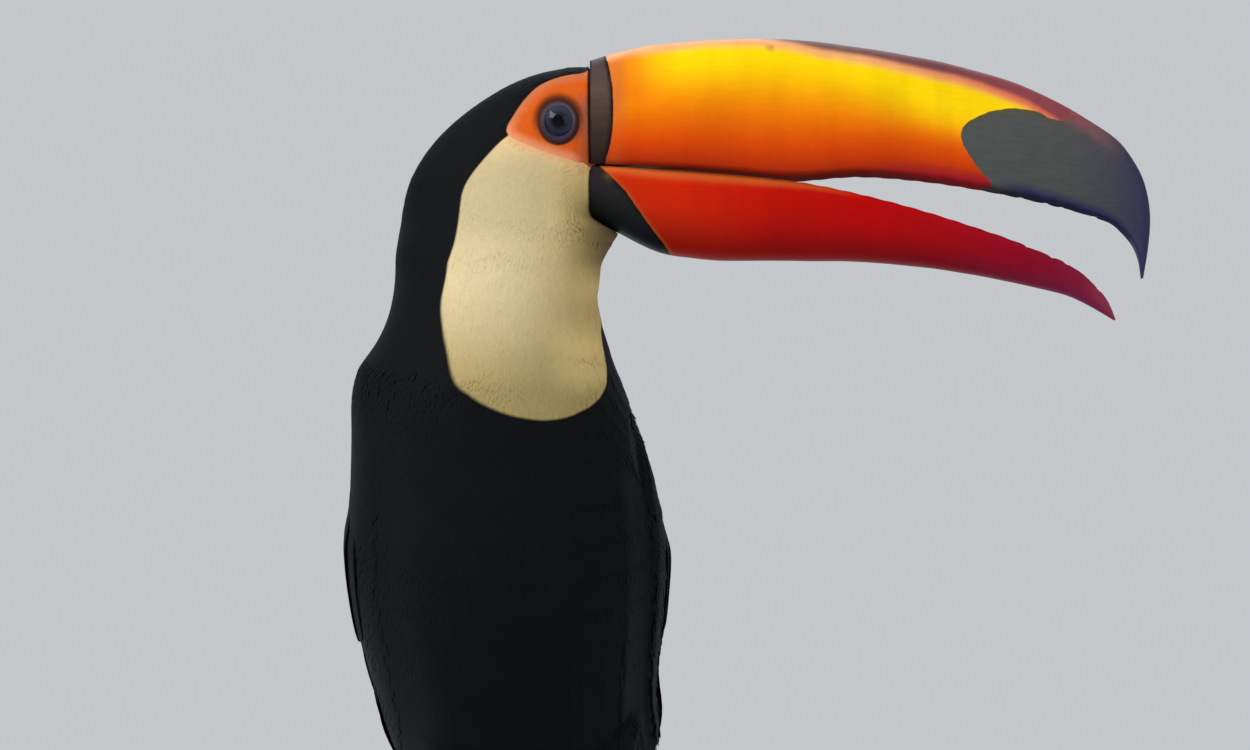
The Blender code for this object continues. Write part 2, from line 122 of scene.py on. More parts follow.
def ripple(points, pitch, seed):  # soft unevenness from -1 to 1, its waves about one pitch long
    draw = np.random.default_rng(seed)
    total = np.zeros(len(points))
    for i in range(7):
        way = unit(draw.normal(size=3)) * 2.0 * math.pi / (pitch * draw.uniform(0.7, 1.5))
        total += np.sin(points @ way + draw.uniform(0.0, 6.28))
    return total / 3.5


def meshObject(name, verts, faces, material=None, outward=False):
    mesh = bpy.data.meshes.new(name)
    mesh.from_pydata([tuple(v) for v in verts], [], [tuple(int(i) for i in f) for f in faces])
    if outward:
        bm = bmesh.new()
        bm.from_mesh(mesh)
        bmesh.ops.recalc_face_normals(bm, faces=bm.faces)
        bm.to_mesh(mesh)
        bm.free()
    mesh.shade_smooth()
    if material:
        mesh.materials.append(material)
    made = bpy.data.objects.new(name, mesh)
    bpy.context.scene.collection.objects.link(made)
    return made


def closedLoft(rings):  # vertices and faces of a body through rings of points, with a fan over each end
    around, last = len(rings[0]), (len(rings) - 1) * len(rings[0])
    verts = list(np.vstack(rings)) + [rings[0].mean(axis=0), rings[-1].mean(axis=0)]
    low, high = len(verts) - 2, len(verts) - 1
    steps = [(i, (i + 1) % around) for i in range(around)]
    faces = [(a + i, a + j, a + around + j, a + around + i) for a in range(0, last, around) for i, j in steps]
    for i, j in steps:
        faces += [(j, i, low), (last + i, last + j, high)]
    return verts, faces


def sheetFaces(rows, columns):  # a grid of points and a second one under it, as one thin closed sheet
    shift, last = rows * columns, (rows - 1) * columns
    faces = []
    for a in range(0, last, columns):
        b = a + columns
        for i in range(columns - 1):
            faces.append((a + i, a + i + 1, b + i + 1, b + i))
            faces.append((a + i + shift, b + i + shift, b + i + 1 + shift, a + i + 1 + shift))
        far, beyond = b - 1, b + columns - 1
        faces += [(a, b, b + shift, a + shift), (beyond, far, far + shift, beyond + shift)]
    for i in range(columns - 1):
        end = last + i
        faces += [(i + 1, i, i + shift, i + 1 + shift), (end, end + 1, end + 1 + shift, end + shift)]
    return faces


def joinParts(parts):  # several (verts, faces) as one
    verts, faces = [], []
    for partVerts, partFaces in parts:
        base = len(verts)
        verts.extend(partVerts)
        faces.extend([tuple(i + base for i in f) for f in partFaces])
    return verts, faces


def putValues(mesh, name, values, kind="FLOAT"):
    field = mesh.attributes.get(name) or mesh.attributes.new(name, kind, "POINT")
    key = {"FLOAT": "value", "FLOAT_VECTOR": "vector", "FLOAT_COLOR": "color"}[kind]
    field.data.foreach_set(key, np.asarray(values, np.float32).ravel())


def spotsOf(mesh, field="co"):
    rows = np.zeros(len(mesh.vertices) * 3, np.float32)
    mesh.vertices.foreach_get(field, rows)
    return rows.reshape(-1, 3).astype(float)


def normalsOf(mesh):
    return spotsOf(mesh, "normal")


def trianglesOf(mesh):
    return sum(len(f.vertices) - 2 for f in mesh.polygons)


def moveSpots(mesh, points):
    mesh.vertices.foreach_set("co", np.asarray(points, np.float32).ravel())
    mesh.update()


def removeObject(item):
    mesh = item.data
    bpy.data.objects.remove(item)
    if mesh and mesh.users == 0:
        bpy.data.meshes.remove(mesh)


def bakeDown(item):  # the evaluated result as a plain mesh, with no modifier left
    graph = bpy.context.evaluated_depsgraph_get()
    mesh = bpy.data.meshes.new_from_object(item.evaluated_get(graph), preserve_all_data_layers=True,
                                           depsgraph=graph)
    item.modifiers.clear()
    old, item.data = item.data, mesh
    if old.users == 0:
        bpy.data.meshes.remove(old)


def fit(piece, slot, *stands):  # every piece rides on the one body
    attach(piece, "root")
    if stands:
        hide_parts(*stands)


# node helpers

def pick(sockets, name):
    if isinstance(name, int):
        return sockets[name]
    return next(s for s in sockets if s.name == name and s.enabled)


def addNode(tree, kind, wires=None, **settings):
    node = tree.nodes.new(kind)
    for key, value in settings.items():
        setattr(node, key, value)
    for name, value in (wires or {}).items():
        socket = pick(node.inputs, name)
        if isinstance(value, bpy.types.NodeSocket):
            tree.links.new(value, socket)
        else:
            socket.default_value = value
    return node


def sums(tree, operation, a, b=0.0):
    return addNode(tree, "ShaderNodeMath", {0: a, 1: b}, operation=operation).outputs[0]


def times(tree, a, b):
    return sums(tree, "MULTIPLY", a, b)


def newFinish(name, roughness, **sockets):
    material = bpy.data.materials.new(name)
    material.use_nodes = True
    shader = material.node_tree.nodes["Principled BSDF"]
    shader.inputs["Roughness"].default_value = roughness
    for key, value in sockets.items():
        shader.inputs[key.replace("_", " ")].default_value = value
    return material, material.node_tree, shader


def objectSpot(tree, scale=(1.0, 1.0, 1.0), turn=(0.0, 0.0, 0.0)):
    spot = addNode(tree, "ShaderNodeTexCoord").outputs["Object"]
    return addNode(tree, "ShaderNodeMapping", {"Vector": spot, "Scale": scale, "Rotation": turn}).outputs[0]


def fieldOf(tree, name, output="Fac"):
    return addNode(tree, "ShaderNodeAttribute", attribute_name=name).outputs[output]


def maskOf(tree, value, low, high):
    return addNode(tree, "ShaderNodeMapRange", {"Value": value, "From Min": low, "From Max": high},
                   interpolation_type="SMOOTHSTEP").outputs[0]


def spread(tree, value, low, high, toLow, toHigh):
    return addNode(tree, "ShaderNodeMapRange", {"Value": value, "From Min": low, "From Max": high,
                                                "To Min": toLow, "To Max": toHigh}).outputs[0]


def noiseOf(tree, vector, scale, detail=3.0, rough=0.5):
    return addNode(tree, "ShaderNodeTexNoise", {"Vector": vector, "Scale": scale, "Detail": detail,
                                                "Roughness": rough}).outputs["Fac"]


def blendOf(tree, factor, a, b, mode="MIX"):
    return addNode(tree, "ShaderNodeMix", {"Factor": factor, "A": a, "B": b}, data_type="RGBA",
                   blend_type=mode).outputs[2]


def shadeBy(tree, colour, value):  # colour times a value
    grey = addNode(tree, "ShaderNodeCombineColor", {"Red": value, "Green": value, "Blue": value}).outputs[0]
    return blendOf(tree, 1.0, colour, grey, "MULTIPLY")


def mottled(tree, colour, value, low, high, dark, pale):  # colour times dark to pale, as a value goes
    return shadeBy(tree, colour, spread(tree, value, low, high, dark, pale))


def allOf(tree, *bands):  # 1 where each value has passed its own band, given as (value, low, high)
    held = maskOf(tree, *bands[0])
    for band in bands[1:]:
        held = times(tree, held, maskOf(tree, *band))
    return held


def layered(tree, colour, *layers):  # colours laid one over another, each with the bands that hold it
    for top, *bands in layers:
        colour = blendOf(tree, allOf(tree, *bands), colour, top)
    return colour


def splitUp(tree, vector):  # its x, y and z
    return addNode(tree, "ShaderNodeSeparateXYZ", {0: vector}).outputs


def vectorOf(tree, x, y, z):
    return addNode(tree, "ShaderNodeCombineXYZ", {0: x, 1: y, 2: z}).outputs[0]


def lengthOf(tree, vector):
    return addNode(tree, "ShaderNodeVectorMath", {0: vector}, operation="LENGTH").outputs["Value"]


def addBump(tree, shader, height, distance, strength=1.0):
    bump = addNode(tree, "ShaderNodeBump", {"Height": height, "Distance": distance, "Strength": strength})
    old = shader.inputs["Normal"].links
    if old:
        tree.links.new(old[0].from_socket, bump.inputs["Normal"])
    tree.links.new(bump.outputs[0], shader.inputs["Normal"])


def wire(tree, value, shader, socket):
    tree.links.new(value, shader.inputs[socket])


# camera and stage

cameraSetup = {"lens": 100.0, "middle": (0.0418, 0.3547), "back": 1.208}


def makeCamera():
    data = bpy.data.cameras.new("camera")
    data.lens = cameraSetup["lens"]
    data.sensor_width = 36.0
    data.clip_start = 0.05
    camera = bpy.data.objects.new("camera", data)
    x, z = cameraSetup["middle"]
    camera.location = (x, headY - cameraSetup["back"], z)
    camera.rotation_euler = (math.pi / 2.0, 0.0, 0.0)
    bpy.context.scene.collection.objects.link(camera)
    bpy.context.scene.camera = camera


stageSetup = {
    "floorRadius": 9.0, "floorPoints": 96, "fadeFrom": 0.7, "fadeTo": 2.1, "aim": (0.03, 0.0, 0.33),
    "backdrop": tone(206, 209, 212), "backdropStrength": 0.9, "skyStrength": 0.62,
    "lights": [  # place, size, watts, colour
        ((-1.2, -1.1, 1.8), 1.2, 42.0, (1.0, 0.98, 0.95)),
        ((1.5, -1.5, 1.0), 1.6, 7.0, (0.95, 0.97, 1.0)),
        ((0.2, 1.4, 1.9), 1.2, 9.0, (0.97, 0.98, 1.0)),
    ],
}


def makeStage():
    setup = stageSetup
    world = bpy.data.worlds.new("studio")
    bpy.context.scene.world = world
    world.use_nodes = True
    sky = world.node_tree.nodes["Background"]
    sky.inputs["Color"].default_value = setup["backdrop"]
    seen = addNode(world.node_tree, "ShaderNodeLightPath").outputs["Is Camera Ray"]
    strength = spread(world.node_tree, seen, 0.0, 1.0, setup["skyStrength"], setup["backdropStrength"])
    world.node_tree.links.new(strength, sky.inputs["Strength"])
    material, tree, shader = newFinish("floorFinish", 0.85)
    spot = addNode(tree, "ShaderNodeTexCoord").outputs["Object"]
    grain = noiseOf(tree, spot, 40.0)
    wire(tree, blendOf(tree, grain, tone(205, 205, 203), tone(212, 212, 210)), shader, "Base Color")
    glow = addNode(tree, "ShaderNodeEmission", {"Color": setup["backdrop"],
                                                "Strength": setup["backdropStrength"]})
    fade = maskOf(tree, lengthOf(tree, spot), setup["fadeFrom"], setup["fadeTo"])
    mixed = addNode(tree, "ShaderNodeMixShader", {0: fade, 1: shader.outputs[0], 2: glow.outputs[0]})
    tree.links.new(mixed.outputs[0], tree.nodes["Material Output"].inputs["Surface"])
    count = setup["floorPoints"]
    turn = fullTurn(count)
    rim = np.column_stack([np.cos(turn), np.sin(turn), 0.0 * turn]) * setup["floorRadius"]
    faces = [(0, 1 + i, 1 + (i + 1) % count) for i in range(count)]
    floor = meshObject("floor", [(0.0, 0.0, 0.0)] + list(rim), faces, material)
    for i, (place, size, watts, colour) in enumerate(setup["lights"]):
        data = bpy.data.lights.new("softLight%d" % i, "AREA")
        data.energy, data.size, data.color = watts, size, colour
        lamp = bpy.data.objects.new(data.name, data)
        lamp.location = place
        toward = Vector(setup["aim"]) - Vector(place)
        lamp.rotation_euler = toward.to_track_quat("-Z", "Y").to_euler()
        bpy.context.scene.collection.objects.link(lamp)
    bpy.context.scene.view_settings.view_transform = "Standard"


makeCamera()
makeStage()
print("stage: camera, floor and light")


# the body's line, from the bill's base over the crown and down to the tail

# x, y, z, yaw and pitch of the body's cross sections, in metres and degrees
bodyLine = np.array([
    (0.0293, -0.0120, 0.4342, 90, 90),
    (0.0202, -0.0120, 0.4325, 90, 70),
    (0.0115, -0.0120, 0.4278, 90, 50),
    (0.0048, -0.0120, 0.4213, 90, 32),
    (0.0013, -0.0120, 0.4134, 90, 17),
    (0.0004, -0.0120, 0.4056, 90, 7),
    (-0.0025, -0.0120, 0.3890, 84, 0),
    (-0.0034, -0.0110, 0.3780, 70, 1),
    (-0.0040, -0.0090, 0.3660, 52, 4),
    (-0.0053, -0.0050, 0.3500, 27, 9),
    (-0.0033, -0.0020, 0.3360, 17, 12),
    (0.0000, 0.0070, 0.2970, 10, 16),
    (0.0020, 0.0260, 0.2500, 10, 21),
    (0.0075, 0.0530, 0.2000, 10, 26),
    (0.0092, 0.0705, 0.1630, 10, 22),
    (0.0180, 0.1200, 0.0350, 10, 21),
])
lineKnots = runLength(bodyLine[:, :3])
linePlaces = np.linspace(0.0, lineKnots[-1], 240)
lineRows = smoothRow(lineKnots, bodyLine, linePlaces)
lineYaw, linePitch = np.radians(lineRows[:, 3]), np.radians(lineRows[:, 4])
lineAhead = np.column_stack([np.sin(lineYaw), -np.cos(lineYaw), 0.0 * lineYaw])
lineFore = np.cos(linePitch)[:, None] * lineAhead - np.sin(linePitch)[:, None] * upward
lineDown = -np.sin(linePitch)[:, None] * lineAhead - np.cos(linePitch)[:, None] * upward
lineSide = np.column_stack([np.cos(lineYaw), np.sin(lineYaw), 0.0 * lineYaw])


def onLine(points):  # for each point: place along the body, angle round it, lie
    centres = lineRows[:, :3]
    below = points @ lineDown.T - np.einsum("ij,ij->i", centres, lineDown)
    reach = (points ** 2).sum(axis=1)[:, None] - 2.0 * points @ centres.T + (centres ** 2).sum(axis=1)
    best = np.argmin(np.abs(below) + 0.15 * np.sqrt(np.maximum(reach, 0.0)), axis=1)
    rows = np.arange(len(points))
    other = np.clip(best + np.where(below[rows, best] > 0, 1, -1), 0, len(linePlaces) - 1)
    near, far = np.abs(below[rows, best]), np.abs(below[rows, other])
    share = np.where(other == best, 0.0, near / np.maximum(near + far, 1e-9))
    turns = []
    for chosen in (best, other):
        arm = points - centres[chosen]
        turns.append(np.arctan2(np.einsum("ij,ij->i", arm, lineSide[chosen]),
                                np.einsum("ij,ij->i", arm, lineFore[chosen])))
    step = (turns[1] - turns[0] + math.pi) % (2.0 * math.pi) - math.pi
    place = linePlaces[best] + share * (linePlaces[other] - linePlaces[best])
    angle = (np.degrees(turns[0] + share * step) + 180.0) % 360.0 - 180.0
    lie = unit(lineDown[best] + share[:, None] * (lineDown[other] - lineDown[best]))
    return place, angle, lie


# markings, in metres inside each one's border

markings = {
    "girth": 0.040,  # metres round the body to one radian
    "bib": [  # angle round the body, and place along it
        (-117, -0.006), (-118, 0.018), (-117, 0.028), (-119, 0.036), (-118, 0.0426), (-116, 0.0517),
        (-114, 0.0595), (-101, 0.0710), (-82, 0.0810), (-65, 0.0886), (-48, 0.0955), (-38, 0.0982),
        (-28, 0.1007), (-17, 0.1028), (-7, 0.1040), (3, 0.1044), (14, 0.1032), (25, 0.1000), (30, 0.0962),
        (29, 0.0910), (22, 0.0858), (18, 0.0805), (27, 0.0735), (45, 0.0670), (80, 0.0600), (108, 0.0520),
        (117, 0.0420), (117, 0.0180), (117, -0.006)],
    "bareFace": [(0.0322, 0.4590), (0.0271, 0.4587), (0.0190, 0.4572), (0.0121, 0.4539), (0.0074, 0.4491),
                 (0.0040, 0.4440), (0.0014, 0.4388), (0.0030, 0.4358), (0.0112, 0.4320), (0.0200, 0.4290),
                 (0.0284, 0.4266), (0.0322, 0.4262)],
    "ringSize": (0.0069, 0.0078),  # half width and half height of the ring round the eye
    "rumpFrom": 0.274, "ventFrom": 0.262, "tailCovered": 0.345,  # places along the body
    "rumpSide": ([0.284, 0.312], [170.0, 112.0]), "ventSide": 104,  # and angles round it
}
outside = -0.02  # a marking's value well away from it


def markingsAt(points, place, angle):
    fields = {}
    bib = [(math.radians(a) * markings["girth"], p) for a, p in markings["bib"]]
    fields["bib"] = outlineDistance(np.radians(angle) * markings["girth"], place, bib, 6)
    fields["bare"] = outlineDistance(points[:, 0], points[:, 2], markings["bareFace"])
    halfWide, halfHigh = markings["ringSize"]
    eye = eyeSpots["right"]
    reach = np.hypot((points[:, 0] - eye.x) / halfWide, (points[:, 2] - eye.z) / halfHigh)
    fields["ring"] = np.where(points[:, 2] > 0.42, (1.0 - reach) * halfWide, outside)
    back = np.abs(angle) > np.interp(place, *markings["rumpSide"])
    front = np.abs(angle) < markings["ventSide"]
    for name, side in (("rump", back), ("vent", front)):
        inReach = np.minimum(place - markings[name + "From"], markings["tailCovered"] - place)
        fields[name] = np.where(side, inReach, outside)
    return fields


# finishes of skin and plumage

plumageColours = {name: tone(*values) for name, values in {
    "black": (13, 17, 19), "blackDeep": (6, 8, 11), "white": (236, 234, 226), "red": (178, 18, 12),
    # the front and low creams darken the bib toward the bill and toward its bottom: partly a yellower tint,
    # partly painted shade
    "cream": (220, 201, 157), "creamFrontTintAndShade": (216, 188, 119), "creamLowTintAndShade": (170, 151, 99),
    # the throat colour is painted shade in the corner under the bill
    # the top cream is painted light on the top of the bib
    "creamLitTop": (224, 198, 148), "throat": (112, 92, 60), "warm": (244, 176, 122),
    "orange": (212, 90, 16), "orangeDeep": (176, 80, 40), "orangeDusky": (166, 88, 62),
    "salmon": (228, 142, 100), "rimUpper": (198, 112, 68), "browShade": (104, 44, 16),
    "ringLitTop": (84, 76, 88), "ringShadedLow": (54, 48, 70), "ringLine": (66, 34, 28), "leg": (92, 112, 132),
}.items()}


def plumageFinish():  # one finish for the skin and for each tuft that grows from it
    c = plumageColours
    material, tree, shader = newFinish("plumageFinish", 0.72, Sheen_Weight=0.04, Sheen_Roughness=0.4,
                                       Sheen_Tint=(0.5, 0.6, 0.9, 1.0), Specular_IOR_Level=0.08)
    spot = objectSpot(tree)
    broad, fine = noiseOf(tree, spot, 70.0), noiseOf(tree, spot, 900.0)
    split = splitUp(tree, spot)
    x, height = split[0], split[2]
    bare, ring = fieldOf(tree, "bare"), fieldOf(tree, "ring")
    cream = layered(tree, c["cream"], (c["creamFrontTintAndShade"], (x, 0.002, 0.034)),
                    (c["creamLowTintAndShade"], (height, 0.390, 0.345)), (c["creamLitTop"], (height, 0.418, 0.436)),
                    # the throat layer: painted shade in the corner under the bill
                    (c["throat"], (x, 0.016, 0.038), (height, 0.420, 0.404), (height, 0.384, 0.396)))
    # painted light at the front of the lower bib, painted shade over the cheek
    for shade, *bands in ((1.6, (x, 0.012, 0.029), (height, 0.376, 0.362), (height, 0.345, 0.355)),
                          (0.8, (x, 0.026, 0.008), (height, 0.388, 0.412), (height, 0.436, 0.424))):
        cream = mottled(tree, cream, allOf(tree, *bands), 0.0, 1.0, 1.0, shade)
    cream = blendOf(tree, times(tree, maskOf(tree, bare, -0.0042, -0.0002), 0.55), cream, c["warm"])
    colour = layered(tree, blendOf(tree, broad, c["blackDeep"], c["black"]),
                     (cream, (fieldOf(tree, "bib"), -0.0005, 0.0005)),
                     (c["white"], (fieldOf(tree, "rump"), -0.001, 0.001)),
                     (c["red"], (fieldOf(tree, "vent"), -0.001, 0.001)))
    # each tuft darker toward its root, and the skin between tufts darkest: painted shade between the tufts
    along = splitUp(tree, fieldOf(tree, "vaneSpot", "Vector"))[1]
    colour = mottled(tree, colour, along, 0.0, 0.7, 0.92, 1.0)
    colour = mottled(tree, colour, fieldOf(tree, "tint"), 0.0, 1.0, 0.965, 1.03)
    rim = layered(tree, c["salmon"], (c["rimUpper"], (height, 0.4370, 0.4430)))
    dusky = layered(tree, c["orangeDeep"], (c["orangeDusky"], (height, 0.4340, 0.4390)))
    # the eye's blue ring: painted light on its top, painted shade on its lower part
    blue = layered(tree, c["ringShadedLow"], (c["ringLitTop"], (height, 0.4370, 0.4440)))
    skin = layered(tree, rim, (c["orange"], (bare, 0.0003, 0.0042)),
                   (dusky, (x, 0.0235, 0.0285), (height, 0.4535, 0.4470)),
                   # painted shade from the brow over the top of the eye's ring
                   (c["browShade"], (ring, -0.0030, -0.0005), (height, 0.432, 0.446)),
                   (c["ringLine"], (ring, -0.0008, 0.0001)), (blue, (ring, 0.0003, 0.0018)))
    skin = mottled(tree, skin, fine, 0.2, 0.8, 0.90, 1.06)
    skin = mottled(tree, skin, broad, 0.25, 0.75, 0.93, 1.04)
    leg = mottled(tree, c["leg"], fine, 0.2, 0.8, 0.7, 1.15)
    colour = layered(tree, colour, (skin, (bare, -0.0002, 0.0003)), (leg, (fieldOf(tree, "leg"), 0.3, 0.7)))
    wire(tree, colour, shader, "Base Color")
    addBump(tree, shader, noiseOf(tree, spot, 1500.0, 2.0), 0.00012, 0.4)
    addBump(tree, shader, noiseOf(tree, spot, 420.0, 3.0), 0.00025, 0.3)
    return material


def quillFinish():  # wing and tail blades: barb lines off a central shaft
    material, tree, shader = newFinish("quillFinish", 0.6, Sheen_Weight=0.02, Specular_IOR_Level=0.08,
                                       Sheen_Tint=(0.5, 0.58, 0.85, 1.0))
    spot = addNode(tree, "ShaderNodeUVMap", uv_map="bladeMap").outputs[0]
    split = splitUp(tree, spot)
    fromShaft = sums(tree, "ABSOLUTE", sums(tree, "SUBTRACT", split[0], 0.5))
    slant = sums(tree, "ADD", times(tree, fromShaft, 60.0), times(tree, split[1], -150.0))
    barbs = sums(tree, "SINE", times(tree, slant, 6.28))
    broad = noiseOf(tree, objectSpot(tree), 60.0)
    colour = layered(tree, blendOf(tree, broad, tone(5, 7, 9), tone(11, 13, 16)),
                     (tone(16, 16, 18), (fromShaft, 0.03, 0.012)))
    wire(tree, mottled(tree, colour, barbs, -1.0, 1.0, 0.88, 1.1), shader, "Base Color")
    addBump(tree, shader, barbs, 0.00006, 0.5)
    return material


plumage = plumageFinish()
quill = quillFinish()


# the skin

skinSetup = {
    "flesh": ("head", "neck", "trunk", "wing_left", "wing_right", "tail",
              "thigh_left", "thigh_right", "foot_left", "foot_right"),
    "swell": 0.0006, "voxel": 0.00128, "thinShare": 0.34, "thinnest": 0.0004, "room": (0.0004, 0.003),
    "depths": {"head": 0.0007, "neck": 0.0009, "trunk": 0.0012, "wing_left": 0.0011, "wing_right": 0.0011,
               "tail": 0.0011, "thigh_left": 0.0016, "thigh_right": 0.0016,
               "foot_left": 0.0, "foot_right": 0.0},
    "bareDepth": 0.0003, "calmRounds": 20, "shoulderRounds": 40, "regrow": 0.0003,
    "eyeReaches": (0.0130, 0.0115), "eyeAside": 0.011,
    # the head's face against the bill: height of the gape, half width, half height over and under it
    "gape": 0.4272, "faceWide": 0.0204, "faceHigh": (0.0362, 0.0176), "intoBill": 0.0024,
    # the throat's middle outline under the bill, x and z: as the solids have it, and filled up to the bill
    "throatFrom": [(0.0293, 0.4087), (0.0310, 0.4076), (0.0345, 0.4060), (0.0385, 0.4035), (0.0379, 0.4008),
                   (0.0357, 0.3975), (0.0345, 0.3936), (0.0333, 0.3890), (0.0333, 0.3840)],
    "throatTo": [(0.0297, 0.4099), (0.0316, 0.4090), (0.0353, 0.4073), (0.0400, 0.4047), (0.0398, 0.4022),
                 (0.0371, 0.3985), (0.0347, 0.3936), (0.0338, 0.3890), (0.0334, 0.3840)],
}


def fleshUnion():  # the nodes of flesh, and the eyes that fill their sockets, as one body
    parts = []
    for name in skinSetup["flesh"] + ("eye_left", "eye_right"):
        bm = bmesh.new()
        bm.from_mesh(nodes[name].data)
        bmesh.ops.remove_doubles(bm, verts=bm.verts, dist=1e-6)
        bm.normal_update()
        bm.verts.index_update()
        swell = 0.0 if name.startswith("eye") else skinSetup["swell"]
        parts.append(([v.co + v.normal * swell for v in bm.verts],
                      [[v.index for v in f.verts] for f in bm.faces]))
        bm.free()
    skin = meshObject("skin", *joinParts(parts))
    remesh = skin.modifiers.new("oneSkin", "REMESH")
    remesh.mode = "VOXEL"
    remesh.voxel_size = skinSetup["voxel"]
    bakeDown(skin)
    return skin


def edgesOf(mesh):
    pairs = np.zeros(len(mesh.edges) * 2, np.int32)
    mesh.edges.foreach_get("vertices", pairs)
    return pairs.reshape(-1, 2)


def relax(values, pairs, weight, rounds, back=-0.61):  # evens values out over the mesh, without shrinking it
    values = np.asarray(values, float)
    flat = values.ndim == 1
    values = values.reshape(len(values), -1).copy()
    size = len(values)
    a, b = pairs[:, 0], pairs[:, 1]
    count = np.maximum(np.bincount(pairs.ravel(), minlength=size), 1)[:, None]
    for turn in range(rounds * 2):
        total = np.column_stack([np.bincount(a, column[b], size) + np.bincount(b, column[a], size)
                                 for column in values.T])
        step = 0.6 if turn % 2 == 0 or flat else back
        values += step * np.reshape(weight, (-1, 1)) * (total / count - values)
    return values[:, 0] if flat else values


def surfaceOf(names):  # the surfaces of these nodes as one, and each face's node
    verts, faces, owner = [], [], []
    for name in names:
        mesh = nodes[name].data
        faces += [[i + len(verts) for i in face.vertices] for face in mesh.polygons]
        owner += [name] * len(mesh.polygons)
        verts += spotsOf(mesh).tolist()
    return BVHTree.FromPolygons(verts, faces), owner


def ownersOf(points):  # the node of flesh that each point lies nearest to
    surface, owner = surfaceOf(skinSetup["flesh"])
    return np.array([owner[surface.find_nearest(p)[2]] for p in points.tolist()])


def surfaceThrough(points, mesh):
    return BVHTree.FromPolygons(points.tolist(), [list(f.vertices) for f in mesh.polygons])


# The folded wing's front and rear edges, as angles round the body at these heights
wingEdges = {
    "height": [0.147, 0.179, 0.210, 0.241, 0.271, 0.302, 0.333, 0.363],
    "front": [134, 104, 82, 68, 62, 62, 68, 92],
    "rear": [171, 173, 172, 170, 167, 160, 146, 118],
}


def wingEdgeBand(points, place, angle):  # 1 on the shoulder and along the folded wing's front edge
    front = np.interp(points[:, 2], wingEdges["height"], wingEdges["front"])
    inReach = ease(points[:, 2], 0.150, 0.165) * wane(points[:, 2], 0.366, 0.374)
    edge = inReach * wane(np.abs(np.abs(angle) - front - 2.0), 6.0, 15.0)
    shoulder = ease(place, 0.074, 0.086) * wane(place, 0.112, 0.135) * ease(np.abs(angle), 45.0, 70.0)
    return np.maximum(edge, shoulder)


def insetSkin(skin):
    s, mesh = skinSetup, skin.data
    pairs, points = edgesOf(mesh), spotsOf(mesh)
    owner = ownersOf(points)
    foot = np.isin(owner, ["foot_left", "foot_right"])
    calm = relax(np.where(foot, 0.12, 1.0), pairs, 1.0, 2)
    points = relax(points, pairs, calm, 12)
    place, angle = onLine(points)[:2]
    big = np.isin(owner, ["head", "neck", "trunk", "wing_left", "wing_right"])
    big = relax(np.where(big, 1.0, 0.0) * wane(place, 0.230, 0.262), pairs, 1.0, 5)
    big = big * wane(points[:, 0], billX - 0.006, billX - 0.003)
    points = relax(points, pairs, big, s["calmRounds"], 0.6)
    points = relax(points, pairs, big * wingEdgeBand(points, place, angle), s["shoulderRounds"], 0.6)
    moveSpots(mesh, points)
    normals = normalsOf(mesh)
    points = points + normals * (big * s["regrow"])[:, None]
    moveSpots(mesh, points)
    # how deep: the coat's depth, less where bare, and never through a thin part
    depth = np.array([s["depths"][name] for name in owner]) * (0.7 + 0.3 * ease(place, 0.0, 0.03))
    bare = ease(markingsAt(points, place, angle)["bare"], -0.0012, 0.0004)
    depth = relax(depth * (1 - bare) + s["bareDepth"] * bare, pairs, 1.0 - bare, 9)
    surface = surfaceThrough(points, mesh)
    thick = np.full(len(points), 0.05)
    for i, (p, n) in enumerate(zip(points, normals)):
        hit = surface.ray_cast(Vector(p - n * 0.0002), Vector(-n), 0.05)
        if hit[3] is not None:
            thick[i] = hit[3] + 0.0002
    trueThick = np.maximum(thick - 2 * s["swell"], s["thinnest"])
    inset = relax(s["swell"] + np.minimum(depth, s["thinShare"] * trueThick), pairs, 1.0, 2)
    # the flat face behind the bill stays where it is, and its middle reaches into the bill
    high = np.where(points[:, 2] > s["gape"], *s["faceHigh"])
    within = np.hypot((points[:, 1] - headY) / s["faceWide"], (points[:, 2] - s["gape"]) / high)
    front = ease(points[:, 0], billX - 0.0022, billX - 0.0002) * ease(within, 1.10, 1.02)
    front = front * ease(normals[:, 0], 0.30, 0.75)
    inset = inset * (1 - front) + s["swell"] * front
    putValues(mesh, "room", np.clip(inset - s["swell"], *s["room"]))
    points = points - normals * inset[:, None]
    points[:, 0] += front * ease(within, 0.95, 0.88) * ease(normals[:, 0], 0.6, 0.9) * s["intoBill"]
    moveSpots(mesh, fillThroat(points))


def fillThroat(points):  # the corner under the bill, filled up to its underside
    old, new = np.array(skinSetup["throatFrom"]), np.array(skinSetup["throatTo"])
    at = np.linspace(0.0, 1.0, 80) * (len(old) - 1)
    old = smoothRow(np.arange(len(old)), old, at)
    new = smoothRow(np.arange(len(new)), new, at)
    near = np.where((points[:, 0] > 0.018) & (np.abs(points[:, 2] - 0.398) < 0.018))[0]
    off = points[near]
    gap = np.linalg.norm(off[:, None, (0, 2)] - old[None], axis=2)
    best = gap.argmin(axis=1)
    weight = wane(gap.min(axis=1), 0.003, 0.009) * wane(np.abs(off[:, 1] - headY), 0.005, 0.019)
    points = points.copy()
    points[near[:, None], (0, 2)] += (new - old)[best] * weight[:, None]
    return points


def refineEyes(skin):  # finer faces round each eye, twice over
    for reach in skinSetup["eyeReaches"]:
        bm = bmesh.new()
        bm.from_mesh(skin.data)
        chosen = set()
        for face in bm.faces:
            spot = face.calc_center_median()
            eye = eyeSpots["left"] if spot.y > headY else eyeSpots["right"]
            flat = math.hypot(spot.x - eye.x, spot.z - eye.z)
            if flat < reach and abs(spot.y - headY) > skinSetup["eyeAside"]:
                chosen.update(face.edges)
        bmesh.ops.subdivide_edges(bm, edges=list(chosen), cuts=1, use_grid_fill=True)
        bm.to_mesh(skin.data)
        bm.free()
    skin.data.update()


